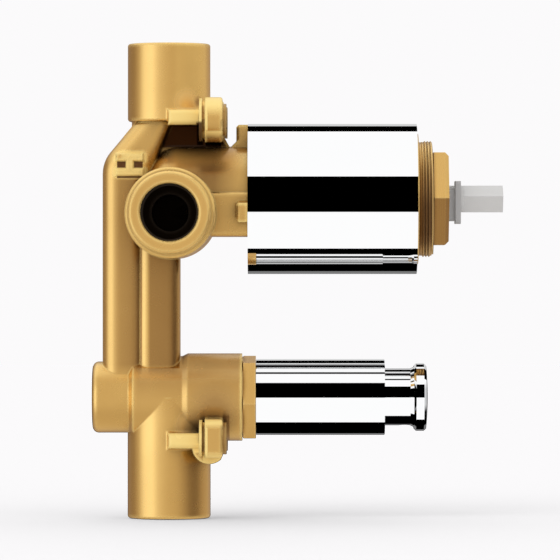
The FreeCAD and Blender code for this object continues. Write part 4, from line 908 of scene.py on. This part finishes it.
class VALVE_OT_studio(bpy.types.Operator):
    """Set the floor, the light all round, the cards for the chrome, the lamps and the camera"""
    bl_idname = "valve.studio"
    bl_label = "Studio"

    def execute(self, context):
        studio = context.scene.valve_studio
        self.build_world(context, studio)
        self.build_floor(context)
        self.build_black_card(context)
        self.build_pale_card(context)
        self.build_lamps(context, studio)
        self.build_camera(context, studio)
        context.scene.view_settings.view_transform = "Standard"
        return {"FINISHED"}

    def build_world(self, context, studio):
        world = bpy.data.worlds.new("studio")
        context.scene.world = world
        world.use_nodes = True
        tree = Tree(world.node_tree)
        path = tree.add("ShaderNodeLightPath").outputs
        direction = tree.add("ShaderNodeTexCoord").outputs["Generated"]
        aim = tree.split(direction)
        back = tree.math("MULTIPLY", aim["Y"], -1.0)
        # where a ray goes, as a share of a full turn: across, from the left, and up, about the X line
        across = tree.math("MULTIPLY_ADD", tree.math("ARCTAN2", aim["X"], back), 0.5 / math.pi, 0.5)
        upward = tree.math("MULTIPLY_ADD", tree.math("ARCTAN2", aim["Z"], back), 0.5 / math.pi, 0.5)
        soft_across = tree.ramp(across, [turn_stop(degrees, level) for degrees, level in SOFT_ACROSS])
        soft_up = tree.ramp(upward, [turn_stop(degrees, level) for degrees, level in SOFT_UP])
        steep = tree.ramp(tree.math("ABSOLUTE", aim["Z"]), [(0.30, 0.0), (0.75, 1.0)])
        soft = tree.mix(steep, soft_across, soft_up)
        bands = [((degrees + 180) / 360, level) for degrees, level in MIRROR_BANDS]
        bands = tree.ramp(upward, bands, "CONSTANT")
        # straight along the X line the bands would all meet, so they fade to grey there
        endways = tree.ramp(tree.math("ABSOLUTE", aim["X"]), [(0.90, 0.0), (0.97, 1.0)])
        bands = tree.mix(endways, bands, MIRROR_GREY)
        mirrored = tree.mix(path["Is Singular Ray"], soft, bands)
        seen = tree.math("MAXIMUM", path["Is Camera Ray"], path["Is Transmission Ray"])
        backdrop = tree.mix(seen, mirrored, tuple(studio.background))
        shown = tree.math("MAXIMUM", seen, path["Is Glossy Ray"])
        even = tree.add("ShaderNodeBackground", Color=(1.0, 0.99, 0.975, 1), Strength=studio.fill_level)
        plain = tree.add("ShaderNodeBackground", Color=backdrop, Strength=1.0)
        mixed = tree.add("ShaderNodeMixShader", i0=shown, i1=even.outputs[0], i2=plain.outputs[0])
        tree.add("ShaderNodeOutputWorld", Surface=mixed.outputs[0])

    def build_floor(self, context):
        bpy.ops.mesh.primitive_plane_add(size=6.0, location=(0, 0, CAD_BOX[0].z - 0.0002))
        floor = context.active_object
        floor.name = "studio_floor"
        material, tree, shader, place = new_finish("studio_floor")
        cloud = tree.noise(place, 3, 2.0)
        colour = tree.mix(cloud, (0.90, 0.895, 0.90), (0.87, 0.865, 0.87))
        set_inputs(tree, shader, Base_Color=colour, Roughness=0.7)
        floor.data.materials.append(material)
        floor.is_shadow_catcher = True
        floor.visible_glossy = False

    def build_black_card(self, context):
        """A black card in front, that only mirror-bright metal shows."""
        near_y, low_z, high_z, half = -0.197, -0.043, 0.150, 1.2
        corners = [
            (-half, near_y, low_z), (half, near_y, low_z), (half, near_y, high_z), (-half, near_y, high_z)]
        self.build_card(context, "black_card", corners, (0, 0, 0, 1), mirror=True)

    def build_pale_card(self, context):
        """A pale card on the right, level with the top socket, that only satin metal shows."""
        x, near_y, far_y, low_z, high_z = 0.45, -1.4, 0.35, 0.047, 0.9
        corners = [(x, near_y, low_z), (x, far_y, low_z), (x, far_y, high_z), (x, near_y, high_z)]
        self.build_card(context, "pale_card", corners, (0.74, 0.68, 0.57, 1), mirror=False)

    def build_card(self, context, name, corners, glow, mirror):
        mesh = bpy.data.meshes.new(name)
        mesh.from_pydata(corners, [], [(0, 1, 2, 3)])
        card = bpy.data.objects.new(name, mesh)
        context.scene.collection.objects.link(card)
        material = bpy.data.materials.new(name)
        material.use_nodes = True
        tree = Tree(material.node_tree)
        path = tree.add("ShaderNodeLightPath").outputs
        clear = tree.add("ShaderNodeBsdfTransparent").outputs[0]
        lit = tree.add("ShaderNodeEmission", Color=glow, Strength=1.0).outputs[0]
        first, second = (clear, lit) if mirror else (lit, clear)
        mixed = tree.add("ShaderNodeMixShader", i0=path["Is Singular Ray"], i1=first, i2=second)
        tree.add("ShaderNodeOutputMaterial", Surface=mixed.outputs[0])
        mesh.materials.append(material)
        card.visible_camera = False
        card.visible_diffuse = False
        card.visible_shadow = False
        card.visible_transmission = False

    def build_lamps(self, context, studio):
        places = (
            ("key_lamp", (-0.55, -0.75, 0.85), 0.7, studio.key_power),
            ("fill_lamp", (0.9, -0.8, 0.35), 0.9, studio.key_power * 0.35),
        )
        for name, place, size, power in places:
            lamp = bpy.data.lights.new(name, "AREA")
            lamp.size = size
            lamp.energy = power
            holder = bpy.data.objects.new(name, lamp)
            holder.location = place
            holder.rotation_euler = (-Vector(place)).to_track_quat("-Z", "Y").to_euler()
            holder.visible_glossy = False
            context.scene.collection.objects.link(holder)

    def build_camera(self, context, studio):
        camera = bpy.data.cameras.new("camera")
        camera.sensor_width = 36.0
        camera.lens = camera.sensor_width * studio.camera_distance / studio.frame_width
        camera.clip_start = 0.05
        camera.clip_end = 20.0
        holder = bpy.data.objects.new("camera", camera)
        holder.location = (studio.aim_x, -studio.camera_distance, studio.aim_z)
        holder.rotation_euler = (math.pi / 2, 0, 0)
        context.scene.collection.objects.link(holder)
        context.scene.camera = holder


OPERATORS = (
    VALVE_OT_part_finishes,
    VALVE_OT_pipe_threads,
    VALVE_OT_nut_thread,
    VALVE_OT_hot_mark,
    VALVE_OT_bend_wall,
    VALVE_OT_studio,
)


class VALVE_PT_panel(bpy.types.Panel):
    """Lists the steps that dress the valve"""
    bl_idname = "VALVE_PT_panel"
    bl_label = "Concealed Shower Valve"
    bl_space_type = "VIEW_3D"
    bl_region_type = "UI"
    bl_category = "Shower Valve"

    def draw(self, context):
        for operator in OPERATORS:
            self.layout.operator(operator.bl_idname)
        for settings in SETTINGS:
            group = getattr(context.scene, settings)
            box = self.layout.box()
            for name in group.__annotations__:
                box.prop(group, name)


SETTINGS = {
    "valve_pipe_thread": PipeThreadSizes,
    "valve_nut_thread": NutThreadSizes,
    "valve_hot_mark": HotMarkSizes,
    "valve_bend_wall": BendWallSizes,
    "valve_metal": MetalColours,
    "valve_studio": StudioSettings,
}


def register():
    for group in SETTINGS.values():
        bpy.utils.register_class(group)
    for name, group in SETTINGS.items():
        setattr(bpy.types.Scene, name, PointerProperty(type=group))
    for operator in OPERATORS:
        bpy.utils.register_class(operator)
    bpy.utils.register_class(VALVE_PT_panel)


def unregister():
    bpy.utils.unregister_class(VALVE_PT_panel)
    for operator in reversed(OPERATORS):
        bpy.utils.unregister_class(operator)
    for name, group in SETTINGS.items():
        delattr(bpy.types.Scene, name)
        bpy.utils.unregister_class(group)


def main():
    register()
    bpy.ops.valve.part_finishes()
    bpy.ops.valve.pipe_threads()
    bpy.ops.valve.nut_thread()
    bpy.ops.valve.hot_mark()
    bpy.ops.valve.bend_wall()
    bpy.ops.valve.studio()


if __name__ == "__main__":
    main()
